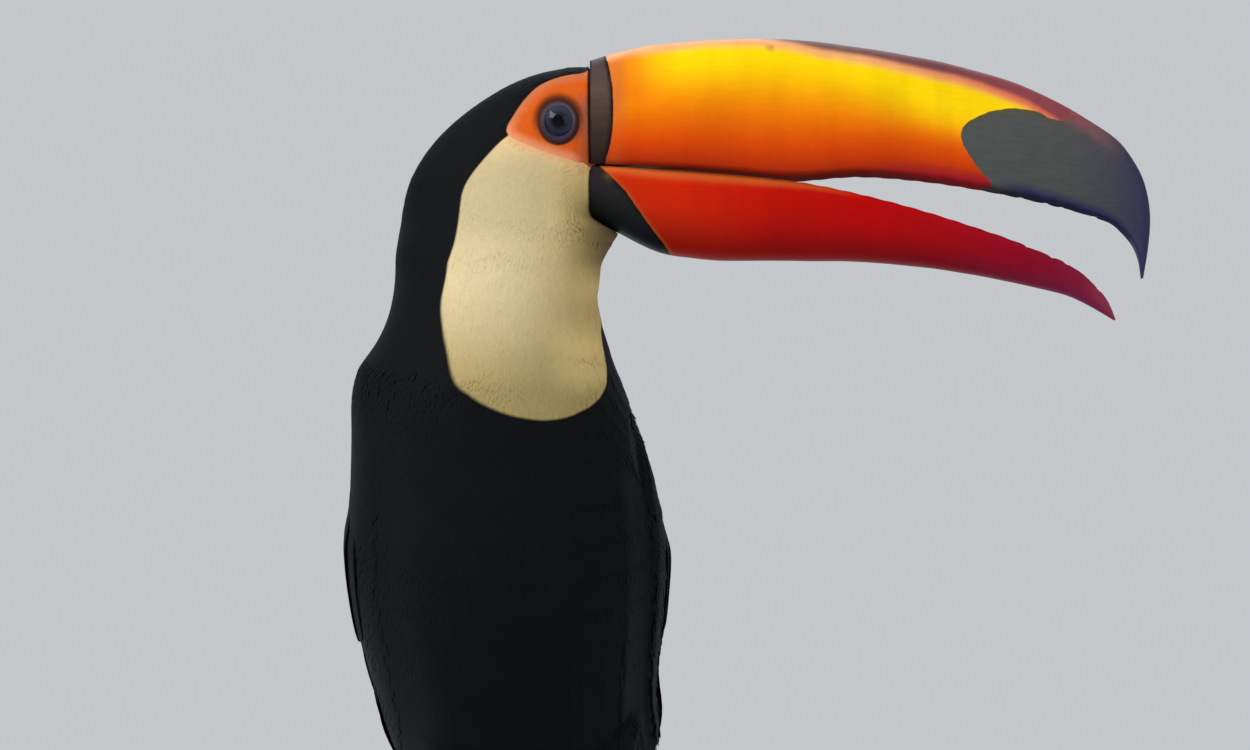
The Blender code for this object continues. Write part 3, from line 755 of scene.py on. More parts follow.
# Lid profile: reach from the eye's middle as a share of the ring's size, and height over the face in mm
lidSetup = {
    "reach": [0.00, 0.55, 0.615, 0.655, 0.71, 0.82, 0.93, 1.00, 1.08, 1.25, 1.60],
    "height": [-3.4, -3.4, -2.6, -0.1, 0.55, 0.80, 0.45, -0.10, 0.10, 0.05, 0.0],
    "aside": 0.010, "calmed": (0.009, 0.0125),
    "folds": 0.00005, "foldsFrom": (0.64, 0.74), "foldsTo": (0.88, 1.0),
}


def shapeLids(skin):
    s, mesh = lidSetup, skin.data
    points = spotsOf(mesh)
    near = np.zeros(len(points))
    sides = (("left", 1.0), ("right", -1.0))
    for side, hand in sides:
        flat = np.hypot(points[:, 0] - eyeSpots[side].x, points[:, 2] - eyeSpots[side].z)
        near += ((points[:, 1] - headY) * hand > s["aside"]) * wane(flat, *s["calmed"])
    points = relax(points, edgesOf(mesh), near, 5)
    halfWide, halfHigh = markings["ringSize"]
    for side, hand in sides:
        x, z = points[:, 0] - eyeSpots[side].x, points[:, 2] - eyeSpots[side].z
        reach, turn = np.hypot(x / halfWide, z / halfHigh), np.arctan2(z, x)
        mine = ((points[:, 1] - headY) * hand > s["aside"]) & (reach < s["reach"][-1])
        folds = s["folds"] * np.sin(turn * 34.0 + 3.0 * np.sin(turn * 3.0))
        folds = folds * ease(reach, *s["foldsFrom"]) * wane(reach, *s["foldsTo"])
        points[mine, 1] += (hand * (np.interp(reach, s["reach"], s["height"]) / 1000.0 + folds))[mine]
    moveSpots(mesh, points)


clawBed = {"around": 0.012, "reach": 0.0032, "pull": 0.6}


def tuckUnderClaws(skin, claws):  # the skin shrinks inside each claw
    points = spotsOf(skin.data)
    for spots in (path for path, radii in claws):
        low = np.where(np.linalg.norm(points - spots.mean(axis=0), axis=1) < clawBed["around"])[0]
        gap = np.linalg.norm(points[low][:, None, :] - spots[None, :, :], axis=2)
        best = gap.argmin(axis=1)
        close = (gap.min(axis=1) < clawBed["reach"]) & (best > 1)
        chosen = low[close]
        points[chosen] += (spots[best[close]] - points[chosen]) * clawBed["pull"]
    moveSpots(skin.data, points)


def unwrap(skin):  # the map that each tuft's patch is placed on
    bpy.context.view_layer.objects.active = skin
    skin.select_set(True)
    bpy.ops.object.mode_set(mode="EDIT")
    bpy.ops.mesh.select_all(action="SELECT")
    bpy.ops.uv.smart_project(angle_limit=math.radians(66.0), island_margin=0.001)
    bpy.ops.object.mode_set(mode="OBJECT")
    skin.data.uv_layers[0].name = "skinMap"
    skin.select_set(False)


def markSkin(skin):
    mesh = skin.data
    points, normals = spotsOf(mesh), normalsOf(mesh)
    place, angle, lie = onLine(points)
    owner = ownersOf(points)
    kinds = np.array([name.split("_")[0] for name in owner])
    fields = markingsAt(points, place, angle)
    fields["leg"] = np.where(kinds == "foot", 1.0, 0.0)
    for name in ("rump", "vent"):
        fields[name] = np.where(np.isin(kinds, ["trunk", "tail"]), fields[name], outside)
    for name, values in fields.items():
        putValues(mesh, name, values)
    putValues(mesh, "tint", np.full(len(points), 0.35))
    facing = np.einsum("ij,ij->i", lie, normals)
    lie = unit(lie - normals * facing[:, None])
    putValues(mesh, "lie", lie, "FLOAT_VECTOR")
    soft = unit(relax(normals, edgesOf(mesh), np.where(kinds == "foot", 0.0, 1.0), 12, 0.6))
    putValues(mesh, "outward", soft, "FLOAT_VECTOR")
    return {"points": points, "normals": normals, "lie": lie, "place": place, "angle": np.abs(angle),
            "steep": np.abs(facing), "wingEdge": wingEdgeBand(points, place, angle), "kinds": kinds,
            "owner": owner, **fields}


# feet: toes' paths over the perch, scutes and claws

footSetup = {
    "perchRadius": 0.0145, "perchZ": 0.1505, "stance": 0.010, "spread": 0.022, "ankleBack": 0.011,
    "ankleZ": 0.1955, "toeRadius": 0.0031, "toeClear": 0.0005, "clawRadius": 0.0021, "clawLength": 0.0105,
    # offset of the root, splay, wrap in degrees, forward or back
    "toes": [(-0.0021, -0.0045, 104.0, 1.0), (0.0024, 0.0075, 118.0, 1.0),
             (-0.0018, -0.0050, 74.0, -1.0), (0.0020, 0.0070, 100.0, -1.0)],
    "scutePitch": 0.0023, "shinScutes": 12, "clawRings": 12, "clawAround": 14,
    "shinGirths": ([0.0, 0.4, 0.6, 1.0], [0.0037, 0.0034, 0.0034, 0.0041]),
}


def overPerch(foot, degrees, away, shift, forward):
    a = np.radians(np.atleast_1d(degrees))[:, None]
    out = np.cos(a) * upward + forward * np.sin(a) * aheadOfBird
    return foot + np.reshape(shift, (-1, 1)) * acrossPerch + np.reshape(away, (-1, 1)) * out, out


def footPlaces():  # for each toe: scutes' places and the claw's path
    s = footSetup
    spots, ways, outs, girths, claws = [], [], [], [], []
    for hand in (1.0, -1.0):
        foot = s["perchZ"] * upward + (s["stance"] + hand * s["spread"]) * acrossPerch
        ring = s["perchRadius"] + s["toeClear"]
        for root, splay, wrap, forward in s["toes"]:
            count = int(math.radians(wrap) * (ring + s["toeRadius"]) / s["scutePitch"])
            degrees = np.linspace(6.0, wrap - 2.0, count)
            share = np.maximum(degrees, 0.0) / wrap
            radius = s["toeRadius"] * (1.08 - 0.20 * share)
            path, out = overPerch(foot, degrees, ring + radius, hand * (root + splay * share), forward)
            spots.append(path)
            ways.append(unit(np.gradient(path, axis=0)))
            outs.append(out)
            girths.append(radius)
            tip = np.linspace(0.0, 1.0, s["clawRings"])
            turn = wrap - 5.0 + tip * (math.degrees(s["clawLength"] / (ring + s["toeRadius"])) + 5.0)
            thick = s["clawRadius"] * (1.0 - tip) ** 0.75 + 0.00012
            away = ring + np.maximum(thick, 0.0012) + 0.0016 * np.sin(math.pi * tip) - 0.0006 * tip
            shift = hand * (root + splay * np.minimum(turn / wrap, 1.3))
            path, out = overPerch(foot, turn, away, shift, forward)
            claws.append((path, thick))
        sole = foot + (s["perchRadius"] + 0.004) * upward
        ankle = foot - s["ankleBack"] * aheadOfBird + (s["ankleZ"] - s["perchZ"]) * upward
        share = np.linspace(0.08, 0.98, s["shinScutes"])
        spots.append(sole + (ankle - sole) * share[:, None])
        ways.append(np.tile(unit(sole - ankle), (len(share), 1)))
        outs.append(np.tile(aheadOfBird + 0.25 * upward, (len(share), 1)))
        girths.append(np.interp(share, *s["shinGirths"]))
    return np.vstack(spots), np.vstack(ways), np.vstack(outs), np.concatenate(girths), claws


scutePlate = {"arc": 205.0, "columns": 8, "reach": 1.35, "rise": 1.10, "wall": 0.10}


def scuteTemplate():  # a thin curved plate, open below, for a toe of radius 1 along Y
    p = scutePlate
    turn = np.radians(np.linspace(-0.5, 0.5, p["columns"]) * p["arc"])
    edge = 1.0 - 0.10 * np.abs(turn / turn.max()) ** 3
    rows = ((-0.5, 0.99), (0.1, 1.05), (0.42, p["rise"]), (0.5, 1.02))
    outer = np.vstack([np.column_stack([np.sin(turn) * rise * edge, np.full(len(turn), y),
                                        np.cos(turn) * rise * edge]) for y, rise in rows])
    thin = 1.0 - p["wall"]
    verts = np.vstack([outer, outer * np.array([thin, 1.0, thin])])
    return meshObject("scuteShape", verts, sheetFaces(len(rows), p["columns"]), outward=True)


def treeWith(name, sockets):  # a node tree with named inputs, and the identifier of each
    tree = bpy.data.node_groups.new(name, "GeometryNodeTree")
    keys = {}
    for kind, labels in sockets.items():
        for label in labels:
            made = tree.interface.new_socket(label, in_out="INPUT", socket_type="NodeSocket" + kind)
            keys[label] = made.identifier
    tree.interface.new_socket("Geometry", in_out="OUTPUT", socket_type="NodeSocketGeometry")
    return tree, keys


def namedField(tree, name, kind):
    return addNode(tree, "GeometryNodeInputNamedAttribute", {"Name": name}, data_type=kind).outputs[0]


def closeTree(tree, geometry, material):
    smooth = addNode(tree, "GeometryNodeSetShadeSmooth", {0: geometry}).outputs[0]
    done = addNode(tree, "GeometryNodeSetMaterial", {"Geometry": smooth, "Material": material}).outputs[0]
    tree.links.new(done, addNode(tree, "NodeGroupOutput").inputs[0])


def aimed(tree, toward, axis, first=None):  # a rotation that turns an axis toward a direction
    wires = {"Vector": toward} if first is None else {"Rotation": first, "Vector": toward}
    settings = {"axis": axis} if first is None else {"axis": axis, "pivot_axis": "Z"}
    return addNode(tree, "FunctionNodeAlignRotationToVector", wires, **settings).outputs[0]


def planted(tree, points, shape, turned, size):  # the shape put at each point, as real mesh
    item = addNode(tree, "GeometryNodeObjectInfo", {"Object": shape}).outputs["Geometry"]
    placed = addNode(tree, "GeometryNodeInstanceOnPoints", {"Points": points, "Instance": item,
                                                            "Rotation": turned, "Scale": size}).outputs[0]
    return addNode(tree, "GeometryNodeRealizeInstances", {0: placed}).outputs[0]


def scuteTree():
    tree, keys = treeWith("scuteTree", {"Geometry": ["Places"], "Object": ["Plate"], "Float": ["Pitch"],
                                        "Material": ["Material"]})
    given = addNode(tree, "NodeGroupInput").outputs
    upright = aimed(tree, namedField(tree, "out", "FLOAT_VECTOR"), "Z")
    turned = aimed(tree, namedField(tree, "way", "FLOAT_VECTOR"), "Y", upright)
    girth = namedField(tree, "girth", "FLOAT")
    size = vectorOf(tree, girth, given["Pitch"], girth)
    closeTree(tree, planted(tree, given["Places"], given["Plate"], turned, size), given["Material"])
    return tree, keys


def runTree(item, tree, keys, values):
    step = item.modifiers.new(tree.name, "NODES")
    step.node_group = tree
    for label, value in values.items():
        step[keys[label]] = value
    bakeDown(item)


def scaleFinish(name, dark, pale, roughness):
    material, tree, shader = newFinish(name, roughness, Coat_Weight=0.12, Coat_Roughness=0.35)
    spot = objectSpot(tree)
    fine = noiseOf(tree, spot, 1400.0)
    colour = layered(tree, dark, (pale, (noiseOf(tree, spot, 260.0), 0.3, 0.7)))
    wire(tree, mottled(tree, colour, fine, 0.25, 0.75, 0.82, 1.1), shader, "Base Color")
    addBump(tree, shader, fine, 0.0001, 0.5)
    return material


def makeScutes(spots, ways, outs, girths):
    mesh = bpy.data.meshes.new("footScutes")
    mesh.from_pydata([tuple(p) for p in spots], [], [])
    piece = bpy.data.objects.new("footScutes", mesh)
    bpy.context.scene.collection.objects.link(piece)
    putValues(mesh, "way", ways, "FLOAT_VECTOR")
    putValues(mesh, "out", outs, "FLOAT_VECTOR")
    putValues(mesh, "girth", girths)
    plate = scuteTemplate()
    tree, keys = scuteTree()
    horny = scaleFinish("legHornFinish", tone(70, 88, 108), tone(120, 140, 158), 0.5)
    runTree(piece, tree, keys, {"Plate": plate, "Pitch": footSetup["scutePitch"] * scutePlate["reach"],
                                "Material": horny})
    removeObject(plate)
    fit(piece, "leg_skin")


def makeClaws(claws):
    parts = []
    turn = fullTurn(footSetup["clawAround"])
    for path, radii in claws:
        heading = unit(np.gradient(path, axis=0))
        rings = []
        for point, way, radius in zip(path, heading, radii):
            side = unit(acrossPerch - way * (acrossPerch @ way))
            rise = unit(np.cross(side, way))
            rise = rise if rise @ (point - footSetup["perchZ"] * upward) > 0 else -rise
            spokes = np.outer(np.cos(turn) * 0.82, side) + np.outer(np.sin(turn), rise)
            rings.append(point + radius * spokes)
        parts.append(closedLoft(rings))
    verts, faces = joinParts(parts)
    material = scaleFinish("clawFinish", tone(24, 24, 28), tone(58, 58, 64), 0.3)
    fit(meshObject("claws", verts, faces, material, outward=True), "claw_horn")


# the coat: tufts and vanes grown from the skin

# Rows of a vane: place along it, width, rise and thickness, each as a share of its own size
vaneShapes = {
    "silk": [(0.0, 0.60, -0.12, 0.05), (0.28, 1.0, 0.62, 0.06), (0.70, 0.84, 0.78, 0.05),
             (1.0, 0.0, 0.72, 0.0)],
    "contour": [(0.0, 0.30, -0.12, 0.05), (0.26, 0.86, 0.48, 0.10), (0.56, 1.0, 0.70, 0.10),
                (0.82, 0.84, 0.84, 0.09), (0.95, 0.46, 0.84, 0.06), (1.0, 0.0, 0.80, 0.0)],
}


def vaneTemplate(name):  # a closed sliver along Y with a low ridge, 1 long and 1 wide
    verts, faces = [], []
    rows = vaneShapes[name]
    for along, wide, rise, thick in rows[:-1]:
        verts += [(-wide / 2, along, rise), (0.0, along, rise + thick), (wide / 2, along, rise)]
    verts.append((0.0, rows[-1][0], rows[-1][2]))
    for r in range(len(rows) - 2):
        for i in range(3):
            j = (i + 1) % 3
            faces.append((r * 3 + i, r * 3 + j, r * 3 + 3 + j, r * 3 + 3 + i))
    last = (len(rows) - 2) * 3
    faces += [(last + i, last + (i + 1) % 3, len(verts) - 1) for i in range(3)] + [(0, 1, 2)]
    made = meshObject(name + "Shape", verts, faces, outward=True)
    putValues(made.data, "vaneSpot", [(x, y, 0.0) for x, y, z in verts], "FLOAT_VECTOR")
    return made


def coatTree():
    tree, keys = treeWith("coatTree", {
        "Geometry": ["Skin"], "Object": ["Vane"], "Int": ["Seed"], "Material": ["Material"],
        "Float": ["Spacing", "Density", "Length", "Width", "Fullness", "Unevenness", "Swirl", "Tilt",
                  "Patch"]})
    given = addNode(tree, "NodeGroupInput").outputs
    roots = addNode(tree, "GeometryNodeDistributePointsOnFaces", {
        "Mesh": given["Skin"], "Distance Min": given["Spacing"], "Density Max": given["Density"],
        "Density Factor": namedField(tree, "cover", "FLOAT"), "Seed": given["Seed"]},
        distribute_method="POISSON")

    def randomly(low, high, seed, kind="FLOAT"):
        limits = {"Min": low, "Max": high, "Seed": seed}
        return pick(addNode(tree, "FunctionNodeRandomValue", limits, data_type=kind).outputs, "Value")

    tinted = addNode(tree, "GeometryNodeStoreNamedAttribute", {
        "Geometry": roots.outputs["Points"], "Name": "tint", "Value": randomly(0.0, 1.0, 3)},
        data_type="FLOAT", domain="POINT").outputs[0]
    upright = aimed(tree, roots.outputs["Normal"], "Z")
    laid = aimed(tree, namedField(tree, "lie", "FLOAT_VECTOR"), "Y", upright)
    tilt, swirl = given["Tilt"], given["Swirl"]
    least = vectorOf(tree, 0.0, times(tree, tilt, -1.0), times(tree, swirl, -1.0))
    wobble = randomly(least, vectorOf(tree, 0.0, tilt, swirl), 5, "FLOAT_VECTOR")
    turned = addNode(tree, "FunctionNodeRotateRotation", {
        "Rotation": laid, "Rotate By": addNode(tree, "FunctionNodeEulerToRotation", {0: wobble}).outputs[0]},
        rotation_space="LOCAL").outputs[0]
    even = randomly(sums(tree, "SUBTRACT", 1.0, given["Unevenness"]),
                    sums(tree, "ADD", 1.0, given["Unevenness"]), 7)
    grown = times(tree, namedField(tree, "size", "FLOAT"), even)
    broad = sums(tree, "POWER", grown, 0.5)  # short tufts stay broad enough to cover the skin
    size = vectorOf(tree, times(tree, given["Width"], broad), times(tree, given["Length"], grown),
                    times(tree, namedField(tree, "room", "FLOAT"), given["Fullness"]))
    real = planted(tree, tinted, given["Vane"], turned, size)
    within = addNode(tree, "ShaderNodeVectorMath", {0: namedField(tree, "vaneSpot", "FLOAT_VECTOR")},
                     operation="SCALE")
    tree.links.new(given["Patch"], within.inputs["Scale"])
    spot = addNode(tree, "ShaderNodeVectorMath", {0: namedField(tree, "skinMap", "FLOAT_VECTOR"),
                                                  1: within.outputs[0]}, operation="ADD").outputs[0]
    mapped = addNode(tree, "GeometryNodeStoreNamedAttribute", {
        "Geometry": real, "Name": "OFBake", "Value": spot}, data_type="FLOAT2", domain="CORNER").outputs[0]
    for name in ("skinMap", "cover", "size", "room", "lie"):
        mapped = addNode(tree, "GeometryNodeRemoveAttribute", {"Geometry": mapped, "Name": name}).outputs[0]
    closeTree(tree, mapped, given["Material"])
    return tree, keys


# Lengths in metres. Shared values hold where a piece gives none of its own
coatShared = {"Density": 4.0e6, "Fullness": 0.62, "Unevenness": 0.07, "Swirl": 0.08, "Tilt": 0.015,
              "Patch": 0.003}
silkOnHead = {"vane": "silk", "Length": 0.0060}
silkOnTrunk = {"slot": "plumage_black", "vane": "silk", "Spacing": 0.00125, "Length": 0.0092, "Width": 0.0026}
silkUnderTail = {"vane": "silk", "Spacing": 0.0013, "Length": 0.0115, "Width": 0.0026}
wingCovert = {"slot": "plumage_black", "vane": "contour", "Spacing": 0.0021, "Length": 0.0105,
              "Width": 0.0042, "Swirl": 0.07, "Fullness": 0.8}
coatSetup = {
    "bibCoat": {**silkOnHead, "slot": "plumage_cream", "Spacing": 0.00076, "Width": 0.0018, "Fullness": 0.42},
    "capCoat": {**silkOnHead, "slot": "plumage_black", "Spacing": 0.00078, "Width": 0.0017, "Fullness": 0.50},
    "breastCoat": silkOnTrunk, "backCoat": silkOnTrunk,
    "wingCoatLeft": wingCovert, "wingCoatRight": wingCovert,
    "thighCoat": {**silkOnTrunk, "Spacing": 0.0011, "Length": 0.0085, "Width": 0.0018},
    "rumpCoat": {**silkUnderTail, "slot": "plumage_white"},
    "ventCoat": {**silkUnderTail, "slot": "plumage_red"},
}
coatRules = {
    "shading": 0.92,  # how far a tuft is shaded as the skin under it
    "lift": 0.0004,  # how far a tip may stand off where the skin bends away
    "reaches": (0.0060, 0.0028),  # lengths at which the tips are tried
    "shortest": 0.33,  # share of its usual length that a tuft keeps, or it isn't grown
    "unbroken": ("bibCoat", "rumpCoat", "ventCoat"),  # here short tufts grow all the same
    "least": 0.35,  # the smallest that a tuft is made
    "headSizes": ([0.0, 0.02, 0.05, 0.09, 0.11], [0.68, 0.78, 0.92, 1.08, 1.15]),  # by place along the body
    "trunkSizes": ([0.09, 0.13, 0.20, 0.30], [0.72, 0.90, 1.05, 1.30]),
    "nearFace": 0.20, "nearWingEdge": 0.30,  # by how much tufts are smaller there
    "tip": 0.62,  # share of its length at which a tuft's marking is read
    "steepest": 0.72, "headTo": 0.092, "wingFrom": 0.136, "wingTo": 0.262, "backFrom": 92,
    "bareFrom": -0.0004, "billGap": 0.0012, "throatTop": 0.4010,  # no coat on bare skin, or against the bill
}


def coatRegions(marks, fields):  # where each piece of the coat grows
    r, place, kinds, owner = coatRules, marks["place"], marks["kinds"], marks["owner"]
    points, normals = marks["points"], marks["normals"]
    feathered = (marks["bare"] < r["bareFrom"]) & (kinds != "foot") & (marks["steep"] < r["steepest"])
    facesBill = (normals[:, 0] > 0.5) | (normals[:, 2] > 0.2)
    feathered &= ~((points[:, 0] > billX - r["billGap"]) & (points[:, 2] > r["throatTop"]) & facesBill)
    bib = fields["bib"] > 0
    onBack = np.isin(kinds, ["trunk", "tail"])
    rump, vent = (fields["rump"] > 0) & onBack, (fields["vent"] > 0) & onBack
    plain = feathered & ~bib & ~rump & ~vent
    upper, thigh = place < r["headTo"], kinds == "thigh"
    wing = (kinds == "wing") & (place > r["wingFrom"])
    trunk = plain & ~upper & ~wing & ~thigh & (kinds != "tail")
    covert = plain & wing & (place < r["wingTo"])  # the blades take over from here
    return {
        "bibCoat": feathered & bib, "capCoat": plain & upper & ~wing,
        "breastCoat": trunk & (marks["angle"] < r["backFrom"]),
        "backCoat": trunk & (marks["angle"] >= r["backFrom"]),
        "wingCoatLeft": covert & (owner == "wing_left"), "wingCoatRight": covert & (owner == "wing_right"),
        "thighCoat": plain & thigh, "rumpCoat": feathered & rump, "ventCoat": feathered & vent,
    }


def dressCoat(mesh, marked):  # tufts take the skin's smooth shading, and markings where they lie
    outward = np.zeros(len(mesh.vertices) * 3, np.float32)
    mesh.attributes["outward"].data.foreach_get("vector", outward)
    mesh.attributes.remove(mesh.attributes["outward"])
    share = coatRules["shading"]
    blended = outward.reshape(-1, 3) * share + normalsOf(mesh) * (1.0 - share)
    mesh.normals_split_custom_set_from_vertices(unit(blended).tolist())
    if marked:
        points = spotsOf(mesh)
        fields = markingsAt(points, *onLine(points)[:2])
        putValues(mesh, "bib", fields["bib"])
        putValues(mesh, "bare", np.minimum(fields["bare"], coatRules["bareFrom"]))


def longestTufts(skin, marks):  # how long a tuft may be before its tip stands off the skin
    surface = surfaceThrough(marks["points"], skin.data)
    longest = np.full(len(marks["points"]), 0.02)
    for reach in coatRules["reaches"]:
        gaps = np.zeros(len(longest))
        for i, tip in enumerate(marks["points"] + marks["lie"] * reach):
            spot, normal, face, away = surface.find_nearest(Vector(tip))
            if (Vector(tip) - spot).dot(normal) > 0.0:
                gaps[i] = away
        gaps = np.maximum(gaps, relax(gaps, edgesOf(skin.data), 1.0, 3, 0.0))
        longest = np.minimum(longest, reach * np.sqrt(coatRules["lift"] / np.maximum(gaps, 0.00002)))
    return longest


def makeCoat(skin, marks):
    r, total = coatRules, 0
    tree, keys = coatTree()
    longest = longestTufts(skin, marks)
    vanes = {name: vaneTemplate(name) for name in vaneShapes}
    away = np.full(len(longest), outside)
    for i, (name, setup) in enumerate(coatSetup.items()):
        size = np.interp(marks["place"], *r["headSizes" if name in ("bibCoat", "capCoat") else "trunkSizes"])
        size = size * (1.0 - r["nearFace"] * wane(-marks["bare"], 0.0, 0.008))
        size = size * (1.0 - r["nearWingEdge"] * marks["wingEdge"])
        size = np.clip(size, 0.0, np.maximum(longest / setup["Length"], r["least"]))
        # markings are read where the tufts end, so the borders that show are the right ones
        tips = marks["points"] + marks["lie"] * (size * setup["Length"] * r["tip"])[:, None]
        fields = markingsAt(tips, *onLine(tips)[:2])
        cover = coatRegions(marks, fields)[name]
        if name not in r["unbroken"]:
            cover = cover & (longest > setup["Length"] * r["shortest"])
        piece = bpy.data.objects.new(name, skin.data.copy())
        bpy.context.scene.collection.objects.link(piece)
        piece.data.materials.clear()
        values = {"bib": fields["bib"], "bare": away, "ring": away, "rump": away, "vent": away,
                  "leg": 0.0 * size, "cover": cover.astype(float), "size": size}
        if name in ("rumpCoat", "ventCoat"):
            values.update(rump=fields["rump"], vent=fields["vent"])
            values[name[:4]] = -away
        for field, rows in values.items():
            putValues(piece.data, field, rows)
        lengths = {key: value for key, value in setup.items() if key not in ("slot", "vane")}
        runTree(piece, tree, keys, {**coatShared, **lengths, "Vane": vanes[setup["vane"]], "Seed": 11 + i,
                                    "Material": plumage})
        dressCoat(piece.data, name in ("bibCoat", "capCoat", "breastCoat", "backCoat"))
        fit(piece, setup["slot"])
        count = trianglesOf(piece.data)
        total += count
        print("coat:", name, count, "triangles")
    for shape in vanes.values():
        removeObject(shape)
    print("coat total:", total)


# wing and tail blades

# Places across a blade from edge to edge, and how high it arches there
bladeProfile = [(-1.0, 0.0), (-0.55, 0.35), (-0.12, 0.5), (0.0, 0.95), (0.12, 0.5), (0.55, 0.35), (1.0, 0.0)]


def bladeMesh(path, normals, halfWidths, wall, arch):  # a closed vane along a path, 1 shaft and 2 webs
    side = unit(np.cross(unit(np.gradient(path, axis=0)), normals))
    rows, verts, spots = len(path), [], []
    for layer in (0, 1):
        for r in range(rows):
            for across, lift in bladeProfile:
                rise = lift * arch - layer * wall - across ** 2 * halfWidths[r] * 0.06
                verts.append(path[r] + side[r] * across * halfWidths[r] + normals[r] * rise)
                spots.append(((across + 1) / 2, r / (rows - 1)))
    return verts, sheetFaces(rows, len(bladeProfile)), spots


def bladePiece(name, blades):
    verts, faces = joinParts([blade[:2] for blade in blades])
    spots = [spot for blade in blades for spot in blade[2]]
    piece = meshObject(name, verts, faces, quill, outward=True)
    layer = piece.data.uv_layers.new(name="bladeMap")
    for loop in piece.data.loops:
        layer.data[loop.index].uv = spots[loop.vertex_index]
    fit(piece, "plumage_black")


wingSetup = {
    # heights of root and tip and their shares across the wing, for the first and the last quill of a rank
    "quills": [
        {"count": 7, "root": (0.262, 0.262), "rootAcross": (0.24, 0.46), "tip": (0.200, 0.150),
         "tipAcross": (0.26, 0.62), "half": 0.0066, "lift": -0.0003},
        {"count": 9, "root": (0.288, 0.300), "rootAcross": (0.24, 0.90), "tip": (0.212, 0.168),
         "tipAcross": (0.32, 0.93), "half": 0.0082, "lift": 0.0003},
        {"count": 10, "root": (0.306, 0.322), "rootAcross": (0.20, 0.95), "tip": (0.262, 0.272),
         "tipAcross": (0.22, 0.96), "half": 0.0066, "lift": 0.0009},
    ],
    "wall": 0.0003, "arch": 0.0003, "rows": 22, "blunt": 0.80, "seed": 31, "stagger": 0.0030,
    "overlap": 0.00010, "rootSunk": 0.0016, "evened": 6,
}


flankReach = 0.15  # how far out from the body's line a ray starts


def onFlank(surface, height, across, hand):  # the folded wing's surface there, and the way it faces
    middle = np.array([np.interp(height, lineRows[::-1, 2], lineRows[::-1, i]) for i in (0, 1)] + [height])
    front, rear = (np.interp(height, wingEdges["height"], wingEdges[edge]) for edge in ("front", "rear"))
    turn = math.radians(hand * (front + (rear - front) * across))
    out = math.cos(turn) * aheadOfBird + math.sin(turn) * acrossPerch
    hit = surface.ray_cast(Vector(middle + out * flankReach), Vector(-out), flankReach)
    if hit[0] is None:
        return middle + out * 0.02, out
    return np.array(hit[0]), np.array(hit[1])


def bladeWidth(t, half, blunt):  # narrow root, even middle, rounded tip
    body = 0.45 + 0.55 * ease(t, 0.0, 0.35)
    tip = np.sqrt(np.clip(1.0 - (np.clip(t - blunt, 0.0, None) / (1.0 - blunt)) ** 2, 0.02, 1.0))
    return half * body * tip


def makeWings():
    s, surface = wingSetup, surfaceOf(("trunk", "wing_left", "wing_right", "tail"))[0]
    draw = np.random.default_rng(s["seed"])
    t = np.linspace(0.0, 1.0, s["rows"])
    for side, hand in (("Left", 1.0), ("Right", -1.0)):
        blades = []
        for rank in s["quills"]:
            for i in range(rank["count"]):
                top, low, acrossTop, acrossLow = (np.interp(i / (rank["count"] - 1), (0, 1), rank[key])
                                                  for key in ("root", "tip", "rootAcross", "tipAcross"))
                low += draw.uniform(-s["stagger"], s["stagger"])
                hits = [onFlank(surface, top + (low - top) * k,
                                acrossTop + (acrossLow - acrossTop) * k ** 1.4, hand) for k in t]
                path, normals = (np.array(rows) for rows in zip(*hits))
                for turn in range(s["evened"]):
                    path[1:-1] = (path[:-2] + 2 * path[1:-1] + path[2:]) / 4
                    normals[1:-1] = unit(normals[:-2] + 2 * normals[1:-1] + normals[2:])
                height = rank["lift"] + s["overlap"] * i - s["rootSunk"] * wane(t, 0.0, 0.3)
                path = path + normals * height[:, None]
                width = bladeWidth(t, rank["half"], s["blunt"])
                blades.append(bladeMesh(path, normals, width, s["wall"], s["arch"]))
        bladePiece("wingQuills" + side, blades)


tailSetup = {
    "count": 10, "lean": 21.0, "length": 0.141, "rootStep": 0.0030, "tipStep": 0.00455, "half": 0.0098,
    "rows": 26, "wall": 0.0005, "arch": 0.0005, "layer": 0.00048, "droop": 0.0035, "droopAt": 0.030,
    "overlap": 0.00025, "blunt": 0.93, "rise": 0.0022, "fan": 0.055,
}


def makeTail():
    s = tailSetup
    lean = math.radians(s["lean"])
    axis = -math.sin(lean) * aheadOfBird - math.cos(lean) * upward
    out = -math.cos(lean) * aheadOfBird + math.sin(lean) * upward
    start = smoothRow(lineKnots, bodyLine, lineKnots[-2])[0][:3] + axis * 0.001
    t = np.linspace(0.0, 1.0, s["rows"])
    blades = []
    for i in range(s["count"]):
        slot = i - (s["count"] - 1) / 2.0
        rank = abs(slot) - 0.5
        length = s["length"] * (1.0 - 0.012 * rank ** 1.2)
        x = slot * (s["rootStep"] + (s["tipStep"] - s["rootStep"]) * ease(t, 0.0, 0.8))
        height = s["rise"] - rank * s["layer"] - s["droop"] * (x / s["droopAt"]) ** 2
        height = height + (s["overlap"] if slot > 0 else 0.0)
        path = start + np.outer(t * length, axis) + np.outer(x, acrossPerch) + np.outer(height, out)
        tilt = np.tile(unit(out + acrossPerch * (slot * s["fan"])), (s["rows"], 1))
        blades.append(bladeMesh(path, tilt, bladeWidth(t, s["half"], s["blunt"]), s["wall"], s["arch"]))
    bladePiece("tailQuills", blades)


# bill

